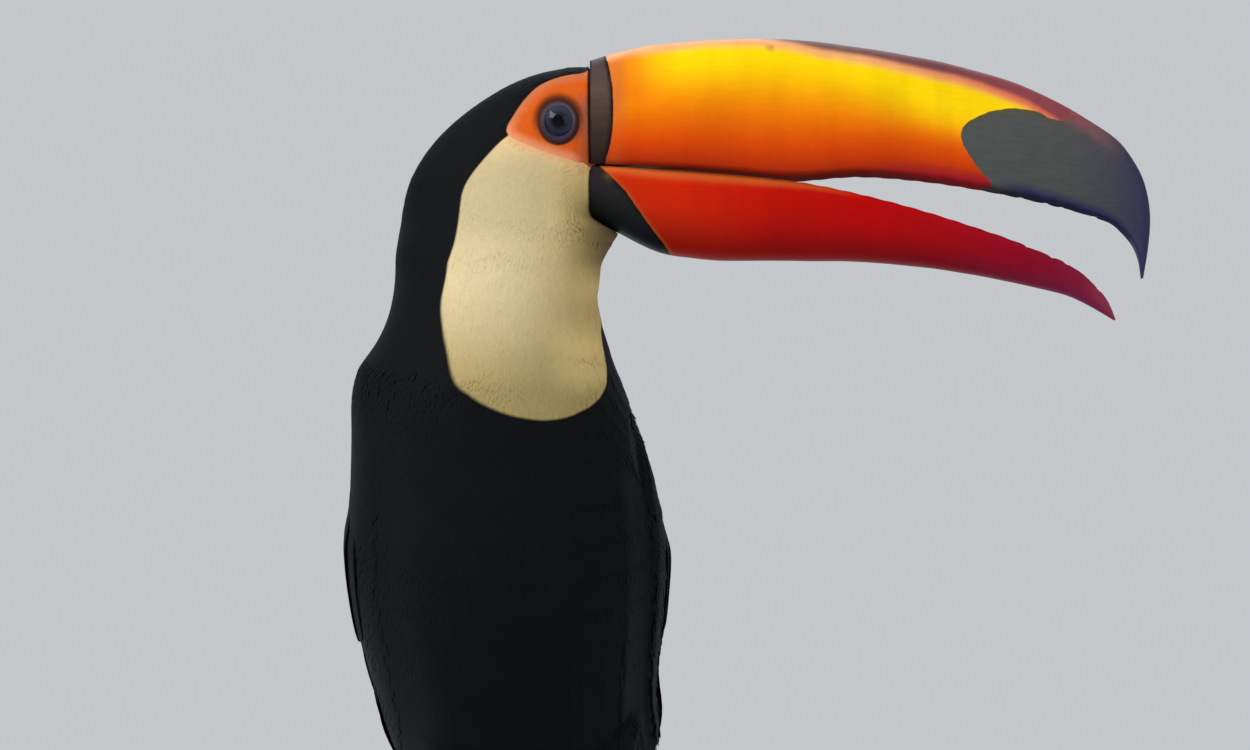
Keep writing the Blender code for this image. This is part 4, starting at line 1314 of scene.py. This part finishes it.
# Ridge x, z; cutting edge x, z; half width
upperStations = np.array([
    (billX, 0.4640, billX, 0.4272, 0.0207), (0.0420, 0.4676, 0.0430, 0.4266, 0.0206),
    (0.0700, 0.4710, 0.0720, 0.4250, 0.0198), (0.0990, 0.4713, 0.0990, 0.4228, 0.0184),
    (0.1290, 0.4677, 0.1240, 0.4243, 0.0168), (0.1560, 0.4625, 0.1480, 0.4224, 0.0149),
    (0.1810, 0.4549, 0.1700, 0.4188, 0.0126), (0.2010, 0.4446, 0.1890, 0.4146, 0.0102),
    (0.2150, 0.4344, 0.2020, 0.4110, 0.0080), (0.2225, 0.4215, 0.2120, 0.4070, 0.0058),
    (0.2245, 0.4090, 0.2180, 0.4005, 0.0038), (0.2237, 0.3985, 0.2205, 0.3945, 0.0022),
    (0.2221, 0.3885, 0.2213, 0.3881, 0.0006),
])
lowerStations = np.array([
    (billX, 0.4092, billX, 0.4266, 0.0196), (0.0400, 0.4038, 0.0400, 0.4260, 0.0196),
    (0.0530, 0.3976, 0.0520, 0.4253, 0.0190), (0.0660, 0.3952, 0.0660, 0.4245, 0.0182),
    (0.0950, 0.3944, 0.0992, 0.4214, 0.0167), (0.1270, 0.3938, 0.1305, 0.4150, 0.0148),
    (0.1550, 0.3908, 0.1583, 0.4070, 0.0124), (0.1790, 0.3863, 0.1827, 0.3984, 0.0096),
    (0.1970, 0.3817, 0.2001, 0.3898, 0.0066), (0.2070, 0.3766, 0.2095, 0.3800, 0.0035),
    (0.2120, 0.3736, 0.2124, 0.3741, 0.0006),
])
billSetup = {
    "rings": 230, "outside": 73, "inside": 17, "hollow": 0.20,
    "toothPitch": 0.0074, "toothDepth": 0.00018, "notches": (0.1806, 0.1893, 0.1945, 0.2060),
    "culmenNick": (0.0922, 0.0018, 0.00035),  # place, half width and depth
    "relief": 0.00010, "reliefPitch": 0.016, "notchDepth": 0.0004, "notchHalf": 0.0007,
    "shortEdge": 0.05, "roundRise": 0.92, "roundWide": 0.88,
}


def billBody(stations, reliefSeed):
    s = billSetup
    knots = runLength((stations[:, 0:2] + stations[:, 2:4]) / 2.0)
    share = np.linspace(0.0, 1.0, s["rings"])
    rows = smoothRow(knots, stations, share * knots[-1])
    turn = np.linspace(0.0, math.pi, s["outside"])
    turn = turn - 0.09 * np.sin(2.0 * turn)  # closer together at the cutting edges
    riseOut = np.sin(turn) ** s["roundRise"]
    wideOut = np.sign(np.cos(turn)) * np.abs(np.cos(turn)) ** s["roundWide"]
    wideOut = wideOut * (1.0 - s["shortEdge"] * (1.0 - riseOut) ** 6)
    roof = np.linspace(0.0, 1.0, s["inside"] + 2)[1:-1]
    riseIn = np.sin(math.pi * roof) ** 0.7
    wideIn = 0.95 * (2.0 * roof - 1.0)
    atEdge = np.concatenate([(1.0 - riseOut) ** 9, np.abs(2.0 * roof - 1.0) ** 8])
    nickX, nickHalf, nickDepth = s["culmenNick"]
    rings = []
    for k, row in zip(share, rows):
        ridge, edge = np.array([row[0], headY, row[1]]), np.array([row[2], headY, row[3]])
        toRidge = unit(ridge - edge)
        hollow = s["hollow"] * ease(k, 0.02, 0.20) * wane(k, 0.80, 1.0)
        rise = np.concatenate([riseOut, hollow * riseIn])
        narrowed = wideIn * (1.0 - s["shortEdge"] * ease(k, 0.0, 0.3))
        wide = np.concatenate([wideOut, narrowed]) * row[4]
        tooth = s["toothDepth"] * ease(k, 0.12, 0.40) * wane(k, 0.90, 1.0)
        phase = (row[2] / s["toothPitch"]) % 1.0
        bite = tooth * (0.5 - 0.5 * math.cos(2.0 * math.pi * phase ** 1.4))
        bite += sum(s["notchDepth"] * math.exp(-((row[2] - x) / s["notchHalf"]) ** 2) for x in s["notches"])
        points = edge + np.outer(rise, ridge - edge) + np.outer(wide, (0.0, 1.0, 0.0))
        points = points + np.outer(bite * atEdge, toRidge)
        if stations is upperStations:
            nick = nickDepth * math.exp(-((row[0] - nickX) / nickHalf) ** 2)
            points = points - np.outer(nick * np.concatenate([riseOut ** 14, roof * 0.0]), toRidge)
        puff = s["relief"] * np.concatenate([riseOut ** 0.5, roof * 0.0])
        puff = puff * ripple(points, s["reliefPitch"], reliefSeed)
        away = unit(points - (ridge + edge) / 2.0)
        rings.append(points + away * puff[:, None] * wane(k, 0.9, 1.0))
    verts, faces = closedLoft(rings)
    rise = np.concatenate([riseOut, riseIn * 0.0] * len(rings) + [[0.5, 0.5]])
    return np.array(verts), faces, rise


def ramp(values, stops):  # colour stops, in linear light
    places = [s[0] for s in stops]
    tones = np.array([tone(*s[1])[:3] for s in stops])
    return np.column_stack([np.interp(values, places, tones[:, i]) for i in range(3)])


def towards(colours, target, weight):  # part of the way to one screen colour, or to rows of colours
    goal = np.array(tone(*target)[:3]) if isinstance(target, tuple) else target
    return colours + (goal - colours) * np.asarray(weight)[:, None]


# Stops of colour by share of the height (flank), by height (collar and wedge) or by distance ahead
billColours = {
    # flank: the horn's red to yellow, partly its own colour and partly painted shade toward the cutting edge
    "flank": [(0.0, (138, 22, 4)), (0.03, (168, 42, 4)), (0.10, (192, 54, 4)), (0.19, (214, 68, 3)),
              (0.27, (221, 84, 2)), (0.35, (228, 101, 1)), (0.43, (234, 117, 1)), (0.51, (241, 136, 1)),
              (0.59, (244, 158, 1)), (0.67, (247, 181, 1)), (0.75, (250, 199, 1)), (0.83, (251, 210, 2)),
              (1.3, (252, 214, 4))],
    "underRidge": [(0.120, (240, 170, 112)), (0.180, (222, 110, 84))],
    "ridge": [(0.100, (116, 82, 78)), (0.150, (116, 66, 70)), (0.180, (140, 67, 75))],
    "collar": [(0.428, (38, 28, 24)), (0.440, (62, 48, 42)), (0.452, (86, 68, 62)), (0.463, (72, 62, 62))],
    "tip": [(0.160, (78, 82, 80)), (0.195, (77, 79, 78)), (0.210, (70, 69, 80)), (0.222, (58, 57, 88))],
    "lower": [(0.040, (206, 44, 4)), (0.060, (204, 36, 2)), (0.090, (192, 17, 2)), (0.125, (182, 4, 4)),
              (0.150, (166, 5, 14)), (0.180, (142, 6, 34)), (0.200, (130, 24, 56)), (0.212, (146, 60, 80))],
    "keel": [(0.06, (158, 22, 8)), (0.10, (148, 4, 10)), (0.15, (132, 4, 28)), (0.20, (132, 30, 76))],
    "wedge": [(0.395, (18, 18, 38)), (0.410, (26, 32, 32)), (0.425, (48, 40, 44))],
}
billMarkings = {
    # distance ahead, and a share of the height or a depth in metres
    "lifted": ([0.100, 0.1235, 0.1375, 0.148, 0.175], [0.0, 0.06, 0.13, 0.19, 0.25]),
    # rim: how strong the painted highlight along the lower bill's top edge is, by distance ahead
    "rim": ([0.045, 0.090, 0.125], [1.0, 0.9, 0.0]),
    "ridgeStrip": ([0.0880, 0.0957, 0.1097, 0.1235, 0.1375, 0.1514, 0.1653, 0.1792, 0.1931],
                   [0.0, 0.0012, 0.0029, 0.0034, 0.0041, 0.0045, 0.0043, 0.0052, 0.0068]),
    # height, and how far ahead the black at the bill's base reaches
    "band": ([0.4238, 0.4289, 0.4326, 0.4463, 0.4590, 0.4655],
             [0.0348, 0.0354, 0.0365, 0.0378, 0.0367, 0.0350]),
    "wedge": ([0.3940, 0.3962, 0.3989, 0.4029, 0.4070, 0.4120, 0.4177, 0.4232, 0.4280],
              [0.0592, 0.0577, 0.0560, 0.0528, 0.0496, 0.0460, 0.0420, 0.0366, 0.0310]),
    # outline of the dark tip
    "tip": [(0.1951, 0.4436), (0.1898, 0.4432), (0.1845, 0.4456), (0.1774, 0.4467), (0.1720, 0.4464),
            (0.1663, 0.4450), (0.1597, 0.4416), (0.1574, 0.4380), (0.1584, 0.4334), (0.1613, 0.4287),
            (0.1651, 0.4238), (0.1680, 0.4204), (0.1705, 0.4130), (0.1880, 0.3950), (0.2200, 0.3750),
            (0.2400, 0.3900), (0.2420, 0.4300), (0.2200, 0.4520), (0.2000, 0.4510)],
}


def upperBillColours(points, rise):
    c, m, x, z = billColours, billMarkings, points[:, 0], points[:, 2]
    # the flank's ramp darkens toward the cutting edge: partly the horn's colour, partly painted shade
    horn = ramp(rise + np.interp(x, *m["lifted"]) * ease(rise, 0.25, 0.5), c["flank"])
    horn = towards(horn, (238, 118, 8), wane(x, 0.040, 0.062) * ease(rise, 0.40, 0.60) * 0.88)
    nearFace = wane(x, 0.0385, 0.0440) * (0.2 + 0.4 * ease(rise, 0.25, 0.55))
    horn = towards(horn, (200, 104, 48), nearFace)
    horn = towards(horn, (164, 28, 36), ease(x, 0.115, 0.150) * wane(rise, 0.03, 0.14))
    below = np.interp(x, upperStations[:, 0], upperStations[:, 1]) - z
    strip, onTop = np.interp(x, *m["ridgeStrip"]), ease(rise, 0.30, 0.50)
    salmon = onTop * wane(below, strip + 0.0008, strip + 0.0046)
    horn = towards(horn, ramp(x, c["underRidge"]), salmon)
    red = onTop * ease(x, 0.086, 0.098) * wane(below, strip - 0.0014, strip + 0.0008)
    horn = towards(horn, ramp(x, c["ridge"]), red)
    nick = np.hypot((x - billSetup["culmenNick"][0]) / 0.0020, (z - 0.4678) / 0.0017)
    horn = towards(horn, (205, 135, 60), wane(nick, 0.1, 1.2) * 0.85)
    heights, reaches = m["band"]
    band = smoothRow(heights, reaches, np.clip(z, heights[0], heights[-1])) - x
    spot = outlineDistance(x, z, m["tip"])
    shaded = np.maximum(wane(band, 0.0004, 0.0018), ease(billX + 0.0010 - x, 0.0, 0.0010) * 0.7)
    collar = towards(ramp(z, c["collar"]), (22, 14, 16), shaded)
    far = ease(x, 0.188, 0.194)
    tip = ramp(x, c["tip"])
    tip = towards(tip, (112, 82, 86), far * wane(x, 0.205, 0.217) * wane(below, 0.0020, 0.0095))
    tip = towards(tip, (140, 74, 80), far * wane(x, 0.196, 0.208) * wane(below, 0.002, 0.006))
    tip = towards(tip, (40, 36, 84), ease(x, 0.168, 0.180) * wane(rise, 0.02, 0.14) * 0.85)
    olive = np.exp(-((spot - 0.0004) / 0.0008) ** 2) * ease(z, 0.436, 0.443) * wane(x, 0.182, 0.192)
    tip = towards(tip, (92, 82, 30), olive * 0.8)
    return horn, np.where((x < 0.10)[:, None], collar, tip), np.maximum(band, spot)


def lowerBillColours(points, rise):
    c, m, x, z = billColours, billMarkings, points[:, 0], points[:, 2]
    # darker toward the keel: partly its own colour, partly painted shade underneath
    horn = towards(ramp(x, c["lower"]), ramp(x, c["keel"]), ease(rise, 0.40, 1.0) * 0.9)
    # painted highlight: lighter orange along the lower bill's top edge
    rim = np.interp(x, *m["rim"])
    edgeHighlight = wane(rise, 0.04, 0.04 + 0.12 * np.maximum(rim, 0.1)) * rim * 0.95
    horn = towards(horn, (214, 100, 40), edgeHighlight)
    wedge = np.interp(z, *m["wedge"]) - x
    horn = towards(horn, (176, 88, 36), wane(-wedge, 0.0002, 0.0016) * 0.75)
    dark = towards(ramp(z, c["wedge"]), (26, 14, 8), wane(wedge, 0.0003, 0.0022) * 0.8)
    gape = np.exp(-(((x - 0.0362) / 0.0014) ** 2 + ((z - 0.4235) / 0.0020) ** 2))
    return horn, towards(dark, (92, 70, 22), gape), wedge


def billFinish(name):
    material, tree, shader = newFinish(name, 0.36, Specular_IOR_Level=0.06)
    spot = objectSpot(tree)
    streak = noiseOf(tree, objectSpot(tree, (1.0, 0.30, 0.10)), 150.0, 3.0)
    grain = noiseOf(tree, objectSpot(tree, (0.12, 1.0, 1.0)), 900.0, 4.0)
    horn = mottled(tree, fieldOf(tree, "horn", "Color"), streak, 0.34, 0.60, 0.955, 1.02)
    horn = layered(tree, horn, (shadeBy(tree, horn, 0.93), (noiseOf(tree, spot, 34.0, 3.0), 0.42, 0.72)))
    dark = mottled(tree, fieldOf(tree, "hornDark", "Color"), grain, 0.3, 0.7, 0.93, 1.06)
    wander = times(tree, sums(tree, "SUBTRACT", noiseOf(tree, spot, 420.0, 2.0), 0.5), 0.0006)
    border = sums(tree, "ADD", fieldOf(tree, "dark"), wander)
    colour = layered(tree, horn, (dark, (border, -0.00022, 0.00022)))
    wire(tree, mottled(tree, colour, grain, 0.2, 0.8, 0.95, 1.04), shader, "Base Color")
    wire(tree, spread(tree, grain, 0.2, 0.8, 0.30, 0.46), shader, "Roughness")
    addBump(tree, shader, grain, 0.00012, 0.35)
    addBump(tree, shader, streak, 0.0004, 0.35)
    return material


def makeBill():
    jobs = (("billUpper", upperStations, upperBillColours, "bill_upper", 4),
            ("billLower", lowerStations, lowerBillColours, "bill_lower", 9))
    for name, stations, paint, node, seed in jobs:
        verts, faces, rise = billBody(stations, seed)
        piece = meshObject(name, verts, faces, billFinish(name + "Finish"), outward=True)
        horn, dark, border = paint(verts, rise)
        for field, colours in (("horn", horn), ("hornDark", dark)):
            putValues(piece.data, field, np.column_stack([colours, np.ones(len(verts))]), "FLOAT_COLOR")
        putValues(piece.data, "dark", border)
        fit(piece, node + "_horn", node)


# eyes

eyeSetup = {"pupil": 0.0021, "iris": 0.0046, "bulge": 0.0003, "inset": 0.0002, "around": 64, "rings": 40}


def eyeFinish():
    material, tree, shader = newFinish("eyeFinish", 0.4, Coat_Weight=0.3, Coat_Roughness=0.05,
                                       Specular_IOR_Level=0.0)
    out, pupil = fieldOf(tree, "fromAxis"), eyeSetup["pupil"]
    iris = layered(tree, tone(20, 25, 40), (tone(52, 54, 70), (out, pupil, eyeSetup["iris"])))
    iris = mottled(tree, iris, noiseOf(tree, objectSpot(tree), 1600.0, 3.0), 0.3, 0.7, 0.85, 1.15)
    colour = layered(tree, tone(2, 2, 3), (iris, (out, pupil - 0.0001, pupil + 0.0001)))
    wire(tree, colour, shader, "Base Color")
    return material


def makeEyes():
    material, s = eyeFinish(), eyeSetup
    turn = fullTurn(s["around"])
    for side, hand in (("left", 1.0), ("right", -1.0)):
        centre = np.array(eyeSpots[side])
        rings = []
        for a in np.linspace(0.02, math.pi - 0.02, s["rings"]):
            radius = eyeRadius - s["inset"] + s["bulge"] * wane(a, 0.25, 0.62)
            flat, deep = radius * math.sin(a), hand * radius * math.cos(a)
            ring = np.column_stack([np.cos(turn) * flat, 0.0 * turn + deep, np.sin(turn) * flat])
            rings.append(centre + ring)
        verts, faces = closedLoft(rings)
        piece = meshObject("eyeball_" + side, verts, faces, material, outward=True)
        points = np.array(verts)
        putValues(piece.data, "fromAxis", np.hypot(points[:, 0] - centre[0], points[:, 2] - centre[2]))
        fit(piece, "eye", "eye_" + side)


# perch and stand

perchSetup = {
    "radius": 0.0145, "length": 0.210, "height": 0.1505, "rings": 300, "around": 150, "bevel": 0.0012,
    "inset": 0.0002, "endInset": 0.0003, "endRing": 0.55, "grain": 0.00012, "seed": 21,
    "furrow": 0.0009, "furrows": 26,  # and the limits of each one's start, sway, rate, phase and width
    "furrowLimits": ((0, 6.28), (0.25, 0.6), (20, 60), (0, 6.28), (0.035, 0.07)),
    "knot": {"place": -0.082, "long": 0.009, "turn": 1.2, "wide": 0.5, "height": 0.0030},
}


def barkFinish():
    material, tree, shader = newFinish("barkFinish", 0.85, Specular_IOR_Level=0.25)
    turn = (0.0, 0.0, -bodyYaw)
    turned, stretched = objectSpot(tree, turn=turn), objectSpot(tree, (0.35, 1.0, 1.0), turn)
    broad, fine = noiseOf(tree, stretched, 130.0, 5.0, 0.65), noiseOf(tree, stretched, 700.0, 5.0, 0.7)
    colour = layered(tree, tone(74, 58, 44), (tone(140, 122, 100), (broad, 0.34, 0.62)))
    lichen = maskOf(tree, noiseOf(tree, turned, 55.0, 4.0), 0.60, 0.70)
    colour = blendOf(tree, times(tree, lichen, 0.45), colour, tone(152, 158, 136))
    colour = layered(tree, colour, (tone(44, 33, 26), (fieldOf(tree, "furrow"), 0.25, 0.9)))
    colour = mottled(tree, colour, fine, 0.25, 0.75, 0.72, 1.15)
    split = splitUp(tree, turned)
    height = sums(tree, "SUBTRACT", split[2], perchSetup["height"])
    away = lengthOf(tree, vectorOf(tree, 0.0, split[1], height))
    rings = sums(tree, "SINE", times(tree, sums(tree, "ADD", away, times(tree, broad, 0.0012)), 5200.0))
    cut = blendOf(tree, spread(tree, rings, -1.0, 1.0, 0.0, 1.0), tone(168, 132, 90), tone(198, 166, 122))
    wire(tree, layered(tree, colour, (cut, (fieldOf(tree, "cutEnd"), 0.4, 0.6))), shader, "Base Color")
    addBump(tree, shader, fine, 0.0006, 0.7)
    addBump(tree, shader, broad, 0.0012, 0.5)
    return material


def makePerch():
    s, knot = perchSetup, perchSetup["knot"]
    half = s["length"] / 2.0
    sides = np.linspace(-half + 0.0004, half - 0.0004, s["rings"])
    places = np.concatenate([[-half, -half], sides, [half, half]])
    inward = np.concatenate([[s["endRing"], 1.0], 0.0 * sides, [1.0, s["endRing"]]])  # 0 but on the ends
    turn = fullTurn(s["around"])
    spokes = np.outer(np.cos(turn), upward) + np.outer(np.sin(turn), aheadOfBird)
    draw = np.random.default_rng(s["seed"])
    lines = [[draw.uniform(*limits) for limits in s["furrowLimits"]] for i in range(s["furrows"])]
    rings, furrows = [], []
    for place, pulled in zip(places, inward):
        furrow = np.zeros(len(turn))
        for start, sway, rate, phase, width in lines:
            at = start + sway * math.sin(rate * place + phase) + 2.5 * place
            gap = np.abs((turn - at + math.pi) % (2 * math.pi) - math.pi)
            strength = 0.55 + 0.45 * math.sin(place * rate * 1.7 + phase * 2.0)
            furrow = np.maximum(furrow, strength * np.exp(-(gap / width) ** 2))
        knob = ease(abs(place), 0.050, half) * 0.05 * np.sin(3.0 * turn + 40.0 * place)
        offKnot = ((place - knot["place"]) / knot["long"]) ** 2 + ((turn - knot["turn"]) / knot["wide"]) ** 2
        edge = s["bevel"] * (1.0 - np.clip((half - abs(place)) / s["bevel"], 0.0, 1.0)) ** 2
        grain = ripple((place * acrossPerch + spokes) * s["radius"], 0.004, 5)
        radius = s["radius"] * (1.0 + knob) - s["furrow"] * furrow + knot["height"] * np.exp(-offKnot)
        radius += s["grain"] * grain - edge - s["inset"]
        if pulled > 0:
            radius = (s["radius"] - s["bevel"] - s["endInset"]) * pulled + 0.0 * turn
        rings.append(s["height"] * upward + place * acrossPerch + radius[:, None] * spokes)
        furrows.append(furrow * (pulled == 0))
    verts, faces = closedLoft(rings)
    piece = meshObject("cutBranch", verts, faces, barkFinish(), outward=True)
    putValues(piece.data, "furrow", np.concatenate(furrows + [[0.0, 0.0]]))
    putValues(piece.data, "cutEnd", np.concatenate([np.repeat(inward > 0, s["around"]), [1.0, 1.0]]))
    fit(piece, "bark", "perch")


def turnedBody(profile, around, centre):  # a closed turned piece from radius and height
    turn = fullTurn(around)
    rings = [np.column_stack([centre[0] + np.cos(turn) * r, centre[1] + np.sin(turn) * r, 0.0 * turn + z])
             for r, z in profile]
    return closedLoft(rings)


def footprint(name):  # a node's box, and its middle seen from above
    low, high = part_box(name)
    return low, high, ((low.x + high.x) / 2.0, (low.y + high.y) / 2.0)


def woodFinish():
    material, tree, shader = newFinish("woodFinish", 0.38, Coat_Weight=0.45, Coat_Roughness=0.18)
    turn = (0.0, 0.0, 0.3)
    warp = noiseOf(tree, objectSpot(tree, (1.0, 9.0, 9.0), turn), 3.2, 4.0)
    pores = noiseOf(tree, objectSpot(tree, (0.06, 1.0, 1.0), turn), 900.0, 3.0)
    across = splitUp(tree, objectSpot(tree, turn=turn))[1]
    lines = sums(tree, "SINE", sums(tree, "ADD", times(tree, across, 420.0), times(tree, warp, 16.0)))
    colour = blendOf(tree, spread(tree, lines, -1.0, 1.0, 0.0, 1.0), tone(66, 40, 24), tone(98, 62, 38))
    colour = layered(tree, colour, (tone(82, 50, 30), (warp, 0.35, 0.75)))
    wire(tree, mottled(tree, colour, pores, 0.25, 0.6, 0.72, 1.06), shader, "Base Color")
    wire(tree, spread(tree, pores, 0.2, 0.8, 0.46, 0.32), shader, "Roughness")
    addBump(tree, shader, pores, 0.0002, 0.3)
    return material


def steelFinish():
    material, tree, shader = newFinish("steelFinish", 0.28, Metallic=1.0)
    brushed = noiseOf(tree, objectSpot(tree, (1.0, 1.0, 0.02)), 2600.0, 3.0)
    wire(tree, blendOf(tree, brushed, tone(170, 171, 174), tone(196, 197, 200)), shader, "Base Color")
    wire(tree, spread(tree, brushed, 0.2, 0.8, 0.22, 0.38), shader, "Roughness")
    addBump(tree, shader, brushed, 0.00005, 0.4)
    return material


standSetup = {"around": 160, "rodAround": 40, "rodRadius": 0.004, "collarRadius": 0.0075,
              "collarHeight": 0.0035}


def makeStand():
    s = standSetup
    low, high, centre = footprint("stand_base")
    radius, top = (high.x - low.x) / 2.0, high.z
    cove = [(radius * 0.30, 0.0), (radius - 0.0012, 0.0), (radius - 0.0003, 0.0006), (radius, 0.0016)]
    cove += [(radius, top * 0.46), (radius - 0.0006, top * 0.52), (radius - 0.0020, top * 0.55)]
    for a in np.linspace(0.0, math.pi / 2.0, 9):
        cove.append((radius - 0.0024 - 0.0050 * (1.0 - math.cos(a)), top * 0.57 + (top * 0.41) * math.sin(a)))
    cove += [(radius - 0.0086, top), (radius * 0.6, top), (radius * 0.3, top)]
    verts, faces = turnedBody(cove, s["around"], centre)
    fit(meshObject("stand_base_turned", verts, faces, woodFinish(), outward=True), "stand_wood", "stand_base")
    steel = steelFinish()
    r, c, h = s["rodRadius"], s["collarRadius"], s["collarHeight"]
    for side in ("left", "right"):
        low, high, centre = footprint("stand_rod_" + side)
        end = high.z - 0.0005
        profile = [(r * 0.5, low.z), (r, low.z), (r, top - 0.0002), (c, top - 0.0002),
                   (c, top + h * 0.7), (c - 0.0003, top + h * 0.9), (c - 0.001, top + h),
                   (r + 0.0004, top + h), (r, top + h + 0.0003)]
        profile += [(r, z) for z in np.linspace(top + h + 0.002, end, 12)] + [(r * 0.5, end)]
        verts, faces = turnedBody(profile, s["rodAround"], centre)
        rod = meshObject("stand_rod_%s_turned" % side, verts, faces, steel, outward=True)
        rod.data.set_sharp_from_angle(angle=math.radians(40.0))
        fit(rod, "stand_steel", "stand_rod_" + side)


# making it all

spots, ways, outs, girths, claws = footPlaces()
skin = fleshUnion()
print("skin: one body,", len(skin.data.polygons), "faces")
insetSkin(skin)
refineEyes(skin)
shapeLids(skin)
tuckUnderClaws(skin, claws)
unwrap(skin)
marks = markSkin(skin)
skin.data.shade_smooth()
skin.data.materials.append(plumage)
print("skin: lids, claws' beds and map done,", trianglesOf(skin.data), "triangles")
makeCoat(skin, marks)
fit(skin, "bare_skin", *skinSetup["flesh"])
makeWings()
makeTail()
print("wings and tail done")
makeBill()
makeEyes()
print("bill and eyes done")
makeScutes(spots, ways, outs, girths)
makeClaws(claws)
print("feet done")
makePerch()
makeStand()
print("perch and stand done")
